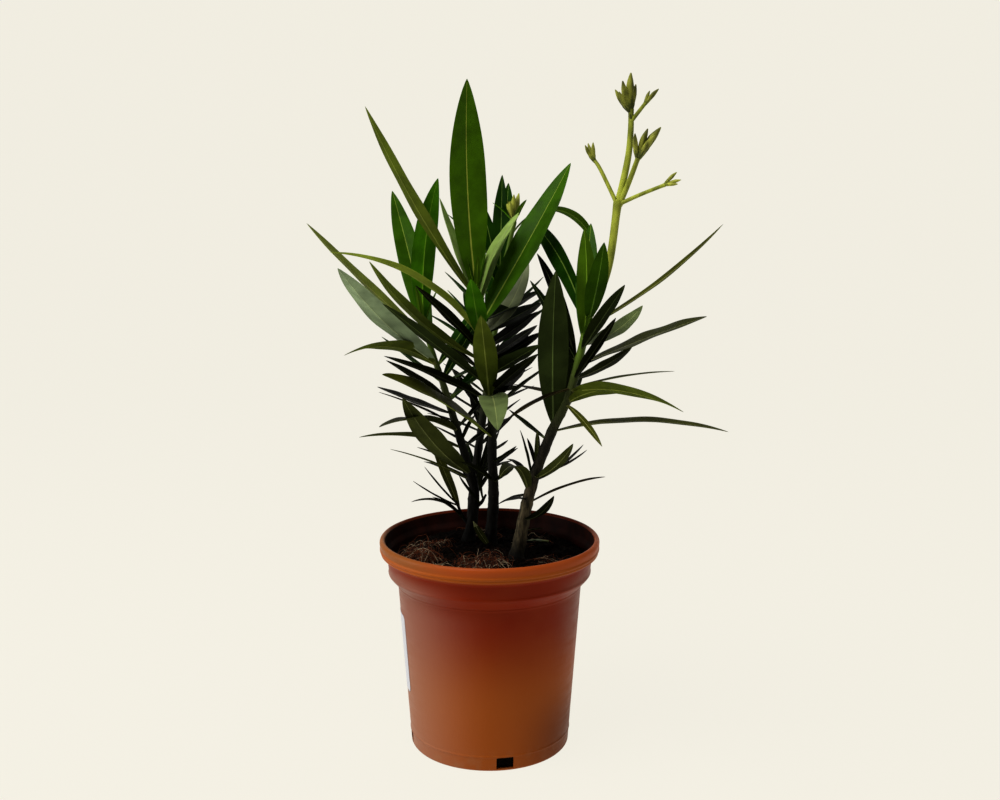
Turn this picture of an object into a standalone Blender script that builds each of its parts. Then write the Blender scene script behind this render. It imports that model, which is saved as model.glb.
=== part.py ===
"""A potted oleander: a round nursery pot full of potting mix, four woody stems with leaves in whorls,
low side sprigs, and an opening flower stalk.

Lengths are in millimetres in the tables below and in metres in the scene. +Z is up, -Y is the front,
and the origin is the centre of the pot's flat underside.
"""

import math

import bmesh
import bpy
import numpy as np
from mathutils.bvhtree import BVHTree

MM = 0.001
GAP = 0.3  # clear space between solids that touch on the real plant

# Pot, an ordinary 17 cm nursery pot.
POT_SEGMENTS = 48
POT_WALL = 1.6
POT_FLOOR = 2.4
BASE_RADIUS = 61.6
BASE_CHAMFER = 1.2
BODY_TOP_RADIUS = 70.5
BODY_TOP = 126.0
COLLAR_RADIUS = 78.0
COLLAR_BOTTOM = 134.0
COLLAR_CHAMFER = 1.0
COLLAR_DRAFT = 0.8
COLLAR_TOP = 150.0
LIP_RADIUS = 85.0
LIP_BOTTOM = 153.5
LIP_ROUNDING = 2.6
LIP_DRAFT = 0.6
LIP_WIDTH = 5.6
RIM_TOP = 164.5
SLOT_COUNT = 4
SLOT_WIDTH = 13.0
SLOT_HEIGHT = 11.0
SLOT_DEPTH = 9.0
SLOT_BEARING = -79.0

# Potting mix: flat where the stems stand and a little lower at the wall.
MIX_TOP = 152.0
MIX_FLAT_RADIUS = 58.0
MIX_EDGE_TOP = 148.0
MIX_SHOULDER_DROP = 1.0

# The stems' centre lines, as points in mm, and each stem's radius at the mix and at its tip.
ROUTES = {
    "right": ((20, -15, 150), (31, -18, 206), (45, -20, 247), (58, -22, 276), (66, -22, 305),
              (74, -20, 340)),
    "centre": ((0, 25, 150), (3, 16, 190), (2, 6, 225), (2, -2, 250), (0, -5, 275), (-4, -4, 300),
               (-7, 0, 325), (-10, 4, 354)),
    "left": ((-17, 35, 150), (-12, 30, 188), (-17, 24, 215), (-26, 16, 248), (-34, 10, 277),
             (-42, 6, 303), (-50, 4, 328)),
    "back": ((-15, 50, 150), (-14, 52, 185), (-6, 55, 245), (3, 57, 310), (12, 55, 370),
             (20, 52, 405)),
}
RADII = {"right": (4.8, 2.6), "centre": (4.4, 2.0), "left": (4.2, 1.8), "back": (3.6, 1.6)}
FOOT_FLARE = 1.0
FOOT_FLARE_HEIGHT = 9.0
STEM_SIDES = 8
STEM_STEP = 9.0
SMOOTH_ANGLE = 40.0

# Each limb runs up from the mix to here, where its first leaves stand.
LIMB_TOPS = {"right": 176.0, "centre": 197.0, "left": 195.0, "back": 188.0}

# Foliage masses up each stem: name, stem, height it ends at, length of the leaves that complete its
# whorls (0 for none), and its posed leaves as (height, bearing, lean, droop, length) with, where they
# differ from the rule, a twist and a width. A bearing of 0 points to +X and 90 to the back. Lean is
# from upright at the leaf's root, and droop is added to it by the leaf's tip.
SHOOTS = (
    ("foliage_right_foot", "right", 238.0, 0, (
        (183, -69, 78, -34, 66, -13), (195, 26, 68, 22, 70, -28, 10), (198, -117, 69, 19, 39, -15),
        (202, -110, 23, 88, 79, -8), (202, 128, 105, 15, 43, -26), (209, 118, 45, 55, 43),
        (212, -158, 11, 7, 42), (213, 48, 89, -31, 64, -22), (215, -65, 72, -28, 73, -21, 9),
        (218, 35, 92, -32, 52, 0, 4), (221, -59, 10, -18, 31), (221, 116, 25, 22, 27))),
    ("foliage_right_middle", "right", 306.0, 62, (
        (251, -11, 74, 28, 131, 4, 15), (254, -106, 10, -23, 117, 7, 23), (262, -118, -24, 37, 84),
        (272, -65, 101, 20, 60, 31, 5), (272, -39, 54, 53, 75, -40, 15), (278, 135, 89, -2, 58),
        (281, -54, 74, 29, 121, -33), (284, -139, 95, 18, 65, 7), (284, 10, 75, 15, 80, 0, 5),
        (290, -65, 50, -2, 80), (290, 45, 84, -18, 70, 8), (298, 115, 23, 32, 106, -1, 14),
        (300, -51, 67, 4, 134, 24, 25), (301, 141, 31, 11, 75))),
    ("foliage_right_top", "right", 337.5, 80, (
        (312, -65, 48, 2, 81), (316, 53, 91, -31, 89, 12), (318, 80, 19, 17, 96, 1),
        (320, -75, 12, -35, 82, 0, 15), (329, 7, 64, -21, 126, 9, 9),
        (330, 115, 33, 39, 124, -72, 16), (333, -80, 47, -22, 75, 0, 15))),
    ("foliage_centre_foot", "centre", 256.0, 0, (
        (204, -119, 54, 17, 58, 12), (204, -71, 65, 0, 51), (217, 57, 88, 6, 31),
        (222, -64, 71, -14, 46), (231, 60, 88, -13, 25), (242, -125, 56, 14, 144, -29, 29))),
    ("foliage_centre_middle", "centre", 312.0, 80, (
        (270, -132, 61, 11, 118, 13), (270, 66, 72, 8, 70, 0, 17), (273, -94, 46, 2, 105),
        (273, -86, 69, 50, 93, 7, 21), (277, -60, 60, 2, 80, -9, 17), (283, -139, 54, 1, 118, 6),
        (283, 67, 111, -24, 68, -27, 17), (289, -59, 64, 3, 81, -12, 17),
        (298, 55, 81, -7, 80, 12, 17), (301, -159, 64, -31, 118, 19, 17),
        (301, 61, 80, -4, 89, 0, 17), (308, -128, 51, 5, 93, 7), (310, 56, 78, -7, 81, 10, 17))),
    ("foliage_centre_top", "centre", 352.0, 95, (
        (318, -160, 34, 51, 136, 12, 17), (318, -98, 46, -5, 67, 0, 15), (321, 53, 78, -1, 82, 11, 17),
        (321, 56, 79, -57, 88, 0, 19), (327, 30, 35, -3, 145, 21, 26), (330, 52, 79, -5, 80, 0, 17),
        (338, 50, 17, 33, 88, -9), (342, 30, 7, 43, 79), (344, 157, 24, -5, 84),
        (347, -155, 38, -13, 164, 10, 19), (350, 114, 18, -24, 161, -5, 29))),
    ("foliage_left_foot", "left", 262.0, 62, (
        (202, -167, 59, 15, 71, 21, 4), (207, -124, 61, -24, 113, 15, 23),
        (229, -158, 65, 29, 86, 21), (234, -57, 28, 23, 34), (243, -125, 60, 37, 97, 9, 19),
        (249, -135, 61, 9, 84, 0, 7), (258, -128, 71, -4, 89, -27, 17))),
    ("foliage_left_top", "left", 327.0, 88, (
        (269, -125, 58, 7, 83, 8), (296, -131, 54, 50, 99, 23, 20),
        (299, -123, 64, -18, 137, 4, 27), (310, 109, 40, 8, 161, -5, 20),
        (318, 170, 53, -11, 126, -6, 17), (326, -56, -7, 37, 115, -10))),
    ("foliage_back_foot", "back", 286.0, 62, (
        (196, -47, 40, -33, 42), (204, 38, 49, -19, 39))),
    ("foliage_back_top", "back", 403.0, 84, (
        (341, 57, 3, -1, 98), (393, 35, 38, 129, 110, -25, 10))),
)

# Short side sprigs: name, stem, height, bearing, lean and length of the twig, then its leaves, whose
# first number is how far along the twig they stand.
SPRIGS = (
    ("sprig_left_inner", "left", 182.0, -30, 30, 10, (
        (0.1, -133, 50, -16, 37), (0.5, -144, 27, -28, 48))),
    ("sprig_left_outer", "left", 167.0, 180, 22, 18, (
        (0.12, -131, 42, 26, 44, 12), (0.2, -168, 34, 73, 47, -12, 5), (0.5, 141, 28, 4, 64),
        (0.8, -137, 65, -12, 53, 0, 4), (0.9, -145, 47, -11, 45, 0, 5))),
    ("sprig_back", "back", 176.0, 80, 50, 14, (
        (0.3, 60, 50, 20, 36), (0.5, 115, 48, 10, 38), (0.8, 60, 40, 10, 50),
        (0.95, 110, 30, 5, 42))),
)
SPRIG_RADIUS = 1.5
SPRIG_TIP_RADIUS = 1.0
SPRIG_SIDES = 6

# Leaf: a narrow blade, widest at its middle, on a short flat stalk.
LEAF_STATIONS = (0.0, 0.09, 0.25, 0.45, 0.66, 0.86)
LEAF_STEPS = 24
LEAF_WIDTH = 0.165  # of its length
LEAF_FULLNESS = 0.85
LEAF_FOLD = 0.10  # how far its edges stand above the midrib, of the width
LEAF_THICKNESS = 0.012  # of its length
THINNEST_LEAF = 1.0
TIP_THINNING = 0.3  # share of its thickness lost towards the tip
STALK_WIDTH = 2.0
STALK_END = 0.05  # of its length

# Rule for the leaves that complete each whorl to three. Each varies by up to FILL_VARIES in bearing,
# lean, length (a share) with droop, and height.
WHORL_PITCH = 14.0
WHORL_LEAVES = 3
WHORL_HEADROOM = 4.0
FILL_BEARINGS = (15.0, 165.0)
FILL_FIRST_BEARINGS = (40.0, 140.0)
FILL_APART = 40.0
FILL_LEANS = (72.0, 34.0)  # at the foot and at the head of the crown
FILL_DROOP = 6.0
FILL_SIDE_LENGTH = 0.62  # of the length of one that points to the back
FILL_VARIES = (8.0, 6.0, 0.1, 2.0)
FILL_VARIES_DROOP = 10.0
CROWN_HEIGHTS = (200.0, 350.0)
FILL_TOP = 372.0
FILL_SEED = 11

# A leaf that would touch another mass is swung by the first of these (bearing, lean) that clears it.
CLEARANCE = 0.35
NUDGES = ((0, 0), (4, 0), (-4, 0), (0, 4), (0, -4), (8, 0), (-8, 0), (0, 8), (0, -8), (12, 4),
          (-12, 4), (12, -4), (-12, -4), (18, 0), (-18, 0))

# Flower stalk: its branches as (points in mm, start radius, end radius), and its buds as (foot, tips).
STALKS = (
    (((73.6, -20.0, 337.9), (79.5, -18, 350), (88, -14, 376), (94, -8, 420)), 2.7, 2.9),
    (((94, -8, 417), (101, -5, 450), (103, -3, 471), (103, -2, 486)), 2.6, 1.9),
    (((95, -8, 417), (102, -11, 435), (107.5, -14, 451)), 2.1, 1.7),
    (((93.5, -7, 418), (82, 0, 442), (77, 3, 450)), 1.5, 1.3),
    (((95, -9, 418), (110, -13, 425), (127, -18, 432)), 1.5, 1.3),
    (((103, -3, 477), (113, -6, 490)), 1.5, 1.3),
)
BUDS = (
    ((103, -2, 483), ((102.6, -2, 512), (96.3, -5, 506), (106.9, 3, 504), (91.3, -1, 500),
                      (93.5, -9, 498))),
    ((112, -5.8, 488), ((116.3, -4, 499), (122.2, -9, 500))),
    ((77.5, 2.6, 448), ((70.2, 2, 460.5), (72.8, 8, 462), (76, 0, 462.5))),
    ((126, -17.7, 431.5), ((135.6, -16, 441), (138, -22, 435.5), (135.2, -26, 432.5))),
    ((107.2, -13.8, 449.5), ((104.7, -17, 468.5), (114.3, -14, 472), (118.7, -20, 467),
                             (124, -12, 473))),
)
# The young buds at the head of the back stem, on its own tip.
BACK_BUD_FOOT = (19.4, 52.0, 402.5)
BACK_BUD_TIPS = ((18.8, 50, 424), (22.8, 55, 425), (15.7, 46, 419), (13, 58, 420))
BUD_SIDES = 6
BUD_RADIUS = 0.13  # of its length
BUD_SHAPE = ((0.0, 0.55), (0.3, 0.8), (0.62, 1.0), (0.85, 0.62))  # share of its length, of its radius


def clear_scene():
    for obj in list(bpy.data.objects):
        bpy.data.objects.remove(obj, do_unlink=True)


def material(name, colour, roughness, metallic=0.0):
    mat = bpy.data.materials.new(name)
    mat.use_nodes = True
    shader = mat.node_tree.nodes["Principled BSDF"]
    shader.inputs["Base Color"].default_value = (*colour, 1.0)
    shader.inputs["Roughness"].default_value = roughness
    shader.inputs["Metallic"].default_value = metallic
    mat.diffuse_color = (*colour, 1.0)
    return mat


def object_of(name, bm, mat, smooth=True):
    """Turns a bmesh in millimetres into a named object in metres."""
    bmesh.ops.scale(bm, verts=bm.verts, vec=(MM, MM, MM))
    bmesh.ops.recalc_face_normals(bm, faces=bm.faces)
    mesh = bpy.data.meshes.new(name)
    bm.to_mesh(mesh)
    bm.free()
    mesh.materials.append(mat)
    if smooth:
        mesh.shade_smooth()
        mesh.set_sharp_from_angle(angle=math.radians(SMOOTH_ANGLE))
    obj = bpy.data.objects.new(name, mesh)
    bpy.context.scene.collection.objects.link(obj)
    return obj


def turned(profile, segments):
    """A bmesh of a profile of (radius, height) points, from axis to axis, spun round Z."""
    bm = bmesh.new()
    verts = [bm.verts.new((radius, 0.0, height)) for radius, height in profile]
    edges = [bm.edges.new(pair) for pair in zip(verts, verts[1:])]
    bmesh.ops.spin(bm, geom=verts + edges, cent=(0, 0, 0), axis=(0, 0, 1),
                   angle=math.tau, steps=segments, use_merge=True, use_duplicate=False)
    bmesh.ops.remove_doubles(bm, verts=bm.verts, dist=1e-5)
    return bm


def pot_outside():
    """Radius and height of the pot's outer side, from the underside up to the rim."""
    return [
        (BASE_RADIUS - BASE_CHAMFER, 0.0),
        (BASE_RADIUS, BASE_CHAMFER),
        (BODY_TOP_RADIUS, BODY_TOP),
        (COLLAR_RADIUS - COLLAR_CHAMFER, COLLAR_BOTTOM - 1.5 * COLLAR_CHAMFER),
        (COLLAR_RADIUS, COLLAR_BOTTOM),
        (COLLAR_RADIUS + COLLAR_DRAFT, COLLAR_TOP),
        (LIP_RADIUS - LIP_ROUNDING, LIP_BOTTOM),
        (LIP_RADIUS - 0.6 * LIP_ROUNDING, LIP_BOTTOM + 0.4 * LIP_ROUNDING),
        (LIP_RADIUS - LIP_DRAFT, RIM_TOP - 1.8 * LIP_ROUNDING),
        (LIP_RADIUS, RIM_TOP - 0.8 * LIP_ROUNDING),
        (LIP_RADIUS - 0.3 * LIP_ROUNDING, RIM_TOP - 0.2 * LIP_ROUNDING),
        (LIP_RADIUS - LIP_ROUNDING, RIM_TOP),
    ]


def pot_inside():
    """Radius and height of the pot's inner side, from the rim down to the floor."""
    return [
        (LIP_RADIUS - LIP_ROUNDING - POT_WALL, RIM_TOP - LIP_DRAFT),
        (LIP_RADIUS - LIP_WIDTH, LIP_BOTTOM + POT_WALL),
        (COLLAR_RADIUS + COLLAR_DRAFT - POT_WALL, COLLAR_TOP + COLLAR_DRAFT),
        (COLLAR_RADIUS - POT_WALL, COLLAR_BOTTOM + COLLAR_CHAMFER),
        (BODY_TOP_RADIUS - POT_WALL, BODY_TOP),
        (BASE_RADIUS - POT_WALL, POT_FLOOR),
    ]


def make_pot(mat):
    profile = [(0.0, 0.0)] + pot_outside() + pot_inside() + [(0.0, POT_FLOOR)]
    pot = object_of("pot", turned(profile, POT_SEGMENTS), mat)
    cutters = bpy.data.collections.new("drain_slots")
    bpy.context.scene.collection.children.link(cutters)
    for i in range(SLOT_COUNT):
        bearing = math.radians(SLOT_BEARING + i * 360.0 / SLOT_COUNT)
        bm = bmesh.new()
        bmesh.ops.create_cube(bm, size=1.0)
        bmesh.ops.scale(bm, verts=bm.verts, vec=(2.0 * SLOT_DEPTH, SLOT_WIDTH, 2.0 * SLOT_HEIGHT))
        cutter = object_of(f"slot_cutter_{i}", bm, mat, smooth=False)
        cutter.location = (BASE_RADIUS * MM * math.cos(bearing), BASE_RADIUS * MM * math.sin(bearing),
                           0.0)
        cutter.rotation_euler = (0.0, 0.0, bearing)
        cutter.hide_render = True
        cutter.display_type = "WIRE"
        bpy.context.scene.collection.objects.unlink(cutter)
        cutters.objects.link(cutter)
    cutters.hide_render = True
    cut = pot.modifiers.new("drain_slots", "BOOLEAN")
    cut.operation = "DIFFERENCE"
    cut.operand_type = "COLLECTION"
    cut.collection = cutters
    cut.solver = "EXACT"
    return pot


def make_mix(mat):
    side = [(radius - GAP, height) for radius, height in reversed(pot_inside())
            if height < MIX_EDGE_TOP]
    side[0] = (side[0][0], POT_FLOOR + GAP)
    edge_radius = COLLAR_RADIUS - POT_WALL - GAP
    profile = [(0.0, POT_FLOOR + GAP)] + side + [
        (edge_radius, MIX_EDGE_TOP),
        (0.5 * (edge_radius + MIX_FLAT_RADIUS), MIX_TOP - MIX_SHOULDER_DROP),
        (MIX_FLAT_RADIUS, MIX_TOP),
        (0.0, MIX_TOP),
    ]
    return object_of("potting_mix", turned(profile, POT_SEGMENTS), mat)


def smooth_route(points, steps=20):
    """Points of a smooth curve through the given ones."""
    given = np.array(points, float)
    given = np.vstack([2 * given[0] - given[1], given, 2 * given[-1] - given[-2]])
    share = np.linspace(0.0, 1.0, steps, endpoint=False)[:, None]
    spans = []
    for p0, p1, p2, p3 in zip(given, given[1:], given[2:], given[3:]):
        spans.append(0.5 * (2 * p1 + (p2 - p0) * share + (2 * p0 - 5 * p1 + 4 * p2 - p3) * share**2
                            + (3 * p1 - p0 - 3 * p2 + p3) * share**3))
    return np.vstack(spans + [given[-2][None]])


CURVES = {name: smooth_route(points) for name, points in ROUTES.items()}


def stem_point(stem, height):
    """The stem's centre at this height."""
    curve = CURVES[stem]
    return np.array([np.interp(height, curve[:, 2], curve[:, 0]),
                     np.interp(height, curve[:, 2], curve[:, 1]), height])


def stem_radius(stem, height):
    """The stem's radius at this height: an even taper and a flare at its foot."""
    foot, tip = RADII[stem]
    share = (height - MIX_TOP) / (ROUTES[stem][-1][2] - MIX_TOP)
    return foot + (tip - foot) * share + FOOT_FLARE * math.exp((MIX_TOP - height) / FOOT_FLARE_HEIGHT)


def add_rings(bm, rings):
    """Joins rings of points into one closed skin with flat ends."""
    loops = [[bm.verts.new(point) for point in ring] for ring in rings]
    for low, high in zip(loops, loops[1:]):
        for i in range(len(low)):
            j = (i + 1) % len(low)
            bm.faces.new((low[i], low[j], high[j], high[i]))
    bm.faces.new(loops[0][::-1])
    bm.faces.new(loops[-1])


def stem_rings(stem, low, high):
    """Level rings round a stem between two heights."""
    count = max(2, round((high - low) / STEM_STEP) + 1)
    turns = np.arange(STEM_SIDES) * math.tau / STEM_SIDES
    circle = np.stack([np.cos(turns), np.sin(turns), np.zeros(STEM_SIDES)], axis=1)
    return [stem_point(stem, z) + stem_radius(stem, z) * circle for z in np.linspace(low, high, count)]


def direction(bearing, lean):
    """A unit vector, or several, from a bearing round Z and a lean from upright."""
    bearing = np.radians(bearing)
    lean = np.radians(lean)
    return np.stack([np.sin(lean) * np.cos(bearing), np.sin(lean) * np.sin(bearing), np.cos(lean)],
                    axis=-1)


def twig_rings(start, end, start_radius, end_radius, sides):
    """Rings of a straight tapering twig, each across its own direction."""
    along = (end - start) / np.linalg.norm(end - start)
    across = np.cross((0.0, 1.0, 0.0), along)
    across /= np.linalg.norm(across)
    other = np.cross(along, across)
    turns = (np.arange(sides) * math.tau / sides)[:, None]
    circle = np.cos(turns) * across + np.sin(turns) * other
    return [start + start_radius * circle, end + end_radius * circle]


def leaf_spine(root, bearing, lean, droop, length):
    """Centre line of a leaf and its upward normals, at LEAF_STATIONS and its tip."""
    steps = (np.arange(LEAF_STEPS) + 0.5) / LEAF_STEPS
    path = np.vstack([root, root + np.cumsum(direction(bearing, lean + droop * steps), axis=0)
                      * length / LEAF_STEPS])
    at = np.array(LEAF_STATIONS + (1.0,))
    points = np.stack([np.interp(at, np.arange(LEAF_STEPS + 1) / LEAF_STEPS, path[:, k])
                       for k in range(3)], axis=1)
    return points, -direction(bearing, lean + droop * at + 90.0)


def leaf_rings(root, bearing, lean, droop, length, twist=0.0, width=0.0, extra=0.0):
    """Four-sided rings of a folded blade, and its tip. extra widens and thickens it all round."""
    points, normals = leaf_spine(root, bearing, lean, droop, length)
    level = direction(bearing + 90.0, 90.0)
    turn = math.radians(twist)
    thickness = max(THINNEST_LEAF, LEAF_THICKNESS * length)
    widest = width or LEAF_WIDTH * length
    rings = []
    for share, point, normal in zip(LEAF_STATIONS, points, normals):
        side = math.cos(turn) * level + math.sin(turn) * normal
        up = math.cos(turn) * normal - math.sin(turn) * level
        across = max(STALK_WIDTH, (4.0 * share * (1.0 - share)) ** LEAF_FULLNESS * widest)
        rise = LEAF_FOLD * across * (share > STALK_END)
        half = 0.5 * across + extra
        depth = 0.5 * thickness * (1.0 - TIP_THINNING * share) + extra
        rings.append([point - half * side + rise * up, point + depth * up,
                      point + half * side + rise * up, point - depth * up])
    return rings, points[-1] + extra * direction(bearing, lean + droop)


def leaf_bmesh(leaf, extra=0.0):
    """A closed leaf: rings, a flat root and a pointed tip, in triangles."""
    rings, tip = leaf_rings(*leaf, extra=extra)
    bm = bmesh.new()
    loops = [[bm.verts.new(point) for point in ring] for ring in rings]
    for low, high in zip(loops, loops[1:]):
        for i in range(4):
            j = (i + 1) % 4
            bm.faces.new((low[i], low[j], high[j], high[i]))
    bm.faces.new(loops[0][::-1])
    point = bm.verts.new(tip)
    for i in range(4):
        bm.faces.new((loops[-1][i], loops[-1][(i + 1) % 4], point))
    bmesh.ops.triangulate(bm, faces=bm.faces)
    bmesh.ops.recalc_face_normals(bm, faces=bm.faces)
    return bm


def tree_of(bm):
    return BVHTree.FromBMesh(bm, epsilon=0.0)


class Space:
    """What each mass keeps clear of: the limbs, and the twigs and leaves of the other masses."""

    def __init__(self):
        self.trees = []

    def add(self, owner, bm):
        self.trees.append((owner, tree_of(bm)))

    def clear(self, owner, bm):
        tree = tree_of(bm)
        return not any(tree.overlap(other) for name, other in self.trees if name != owner)

    def fit(self, owner, leaf):
        """The leaf, swung as little as clears the other masses, or None where nothing does."""
        root, bearing, lean, *shape = leaf
        for turn, tilt in NUDGES:
            swung = (root, bearing + turn, lean + tilt, *shape)
            bm = leaf_bmesh(swung, extra=CLEARANCE)
            free = self.clear(owner, bm)
            bm.free()
            if free:
                bm = leaf_bmesh(swung)
                self.add(owner, bm)
                bm.free()
                return swung
        return None


def widest_gap(bearings):
    """The bearing in the middle of the widest gap between these."""
    in_turn = sorted(bearing % 360.0 for bearing in bearings)
    gap, before = max((after - before, before) for before, after in
                      zip(in_turn, in_turn[1:] + [in_turn[0] + 360.0]))
    return before + 0.5 * gap


def whorl_fill(low, high, length, posed, rng):
    """The leaves that complete the whorls between two heights, at the back of the posed ones."""
    made = []
    if not length:
        return made
    for height in np.arange(low + 0.5 * WHORL_PITCH, high - WHORL_HEADROOM, WHORL_PITCH):
        bearings = [leaf[1] for leaf in posed if abs(leaf[0] - height) <= 0.5 * WHORL_PITCH]
        first = rng.uniform(*FILL_FIRST_BEARINGS)
        for _ in range(WHORL_LEAVES - len(bearings)):
            middle = widest_gap(bearings) if bearings else first
            bearing = float(np.clip((middle + 90.0) % 360.0 - 90.0, *FILL_BEARINGS))
            near = min([abs((bearing - other + 180.0) % 360.0 - 180.0) for other in bearings] + [360.0])
            bearings.append(bearing)
            change = rng.uniform(-1.0, 1.0, 4)
            if near < FILL_APART:
                continue
            turn, tilt, stretch, rise = change * FILL_VARIES
            back = math.sin(math.radians(bearing))
            reach = length * (FILL_SIDE_LENGTH + (1.0 - FILL_SIDE_LENGTH) * back) * (1.0 + stretch)
            lean = np.interp(height, CROWN_HEIGHTS, FILL_LEANS) + tilt
            droop = FILL_DROOP + FILL_VARIES_DROOP * change[2]
            made.append((height + rise, bearing + turn, lean, droop, reach))
    return made


def union(name, base, pieces, mat):
    """One solid of a stem or twig and all that grows on it."""
    body = object_of(name, base, mat)
    group = bpy.data.collections.new(name + "_pieces")
    bpy.context.scene.collection.children.link(group)
    for i, piece in enumerate(pieces):
        obj = object_of(f"{name}_piece_{i}", piece, mat)
        bpy.context.scene.collection.objects.unlink(obj)
        group.objects.link(obj)
    join = body.modifiers.new("join", "BOOLEAN")
    join.operation = "UNION"
    join.operand_type = "COLLECTION"
    join.collection = group
    join.solver = "EXACT"
    graph = bpy.context.evaluated_depsgraph_get()
    joined = bpy.data.meshes.new_from_object(body.evaluated_get(graph))
    body.modifiers.clear()
    old = body.data
    body.data = joined
    bpy.data.meshes.remove(old)
    for obj in list(group.objects):
        bpy.data.objects.remove(obj, do_unlink=True)
    bpy.data.collections.remove(group)
    joined.name = name
    joined.shade_smooth()
    joined.set_sharp_from_angle(angle=math.radians(SMOOTH_ANGLE))
    return body


def bud_bmesh(foot, tip):
    """A closed spindle-shaped bud, from its stalk to its point."""
    start = np.array(foot, float)
    end = np.array(tip, float)
    length = np.linalg.norm(end - start)
    rings = []
    for share, swell in BUD_SHAPE:
        middle = start + share * (end - start)
        radius = swell * BUD_RADIUS * length
        rings.append(twig_rings(middle, middle + (end - start), radius, radius, BUD_SIDES)[0])
    bm = bmesh.new()
    loops = [[bm.verts.new(point) for point in ring] for ring in rings]
    for low, high in zip(loops, loops[1:]):
        for i in range(BUD_SIDES):
            j = (i + 1) % BUD_SIDES
            bm.faces.new((low[i], low[j], high[j], high[i]))
    bm.faces.new(loops[0][::-1])
    point = bm.verts.new(end)
    for i in range(BUD_SIDES):
        bm.faces.new((loops[-1][i], loops[-1][(i + 1) % BUD_SIDES], point))
    bmesh.ops.triangulate(bm, faces=bm.faces)
    bmesh.ops.recalc_face_normals(bm, faces=bm.faces)
    return bm


def stalk_bmesh(points, start_radius, end_radius):
    """A tapering tube along a smooth curve through the points, from a level foot."""
    path = smooth_route(points, steps=3)
    radii = np.linspace(start_radius, end_radius, len(path))
    rings = []
    for i, (middle, radius) in enumerate(zip(path, radii)):
        ahead = path[min(i + 1, len(path) - 1)] - path[i - 1] if i else np.array((0.0, 0.0, 1.0))
        rings.append(twig_rings(middle, middle + ahead, radius, radius, BUD_SIDES)[0])
    bm = bmesh.new()
    add_rings(bm, rings)
    return bm


def make_limbs(space, mat):
    for stem, top in LIMB_TOPS.items():
        bm = bmesh.new()
        add_rings(bm, stem_rings(stem, MIX_TOP + GAP, top))
        space.add("stem_" + stem, bm)
        object_of("stem_" + stem, bm, mat)


def sprig_twig(stem, height, bearing, lean, length):
    """Start and end of a sprig's twig, its start clear of the stem's side."""
    out = direction(bearing, 90.0)
    start = stem_point(stem, height) + (stem_radius(stem, height) + GAP + SPRIG_RADIUS) * out
    return start, start + length * direction(bearing, lean)


def grow(space):
    """Stems, twigs and leaves of every mass: name, base bmesh and leaves. Posed leaves come first."""
    rng = np.random.default_rng(FILL_SEED)
    masses = []
    lows = dict(LIMB_TOPS)
    for name, stem, high, length, posed in SHOOTS:
        low = lows[stem] + GAP
        lows[stem] = high
        bm = bmesh.new()
        add_rings(bm, stem_rings(stem, low, high))
        space.add(name, bm)
        leaves = [(stem_point(stem, z), *pose) for z, *pose in posed]
        fill = [(stem_point(stem, z), *pose)
                for z, *pose in whorl_fill(low, min(high, FILL_TOP), length, posed, rng)]
        masses.append((name, bm, leaves, fill))
    for name, stem, height, bearing, lean, length, posed in SPRIGS:
        start, end = sprig_twig(stem, height, bearing, lean, length)
        bm = bmesh.new()
        add_rings(bm, twig_rings(start, end, SPRIG_RADIUS, SPRIG_TIP_RADIUS, SPRIG_SIDES))
        space.add(name, bm)
        leaves = [(start + share * (end - start), *pose) for share, *pose in posed]
        masses.append((name, bm, leaves, []))
    return masses


def main():
    clear_scene()
    terracotta = material("terracotta_plastic", (0.22, 0.065, 0.025), 0.42)
    mix = material("potting_mix", (0.02, 0.013, 0.009), 0.95)
    bark = material("stem_bark", (0.045, 0.04, 0.018), 0.6)
    young = material("young_leaf", (0.06, 0.13, 0.02), 0.45)
    old = material("old_leaf", (0.02, 0.032, 0.012), 0.5)
    stalk = material("flower_stalk", (0.26, 0.3, 0.06), 0.55)
    make_pot(terracotta)
    make_mix(mix)
    space = Space()
    make_limbs(space, bark)
    flower = [stalk_bmesh(*branch) for branch in STALKS]
    flower += [bud_bmesh(foot, tip) for foot, tips in BUDS for tip in tips]
    for piece in flower:
        space.add("flower_stalk", piece)
    masses = grow(space)
    fitted = {name: [space.fit(name, leaf) for leaf in leaves] for name, _, leaves, _ in masses}
    for name, _, _, fill in masses:
        fitted[name] += [space.fit(name, leaf) for leaf in fill]
    for name, base, _, _ in masses:
        pieces = [leaf_bmesh(leaf) for leaf in fitted[name] if leaf]
        if name == "foliage_back_top":
            pieces += [bud_bmesh(BACK_BUD_FOOT, tip) for tip in BACK_BUD_TIPS]
        union(name, base, pieces, young if name.endswith("_top") else old)
    union("flower_stalk", flower[0], flower[1:], stalk)


main()
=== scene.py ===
"""Potted oleander: a round nursery pot full of potting mix, four woody stems with narrow leaves in
whorls, low side sprigs and a flower stalk in bud. Tables and points are in millimetres."""

import math

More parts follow.
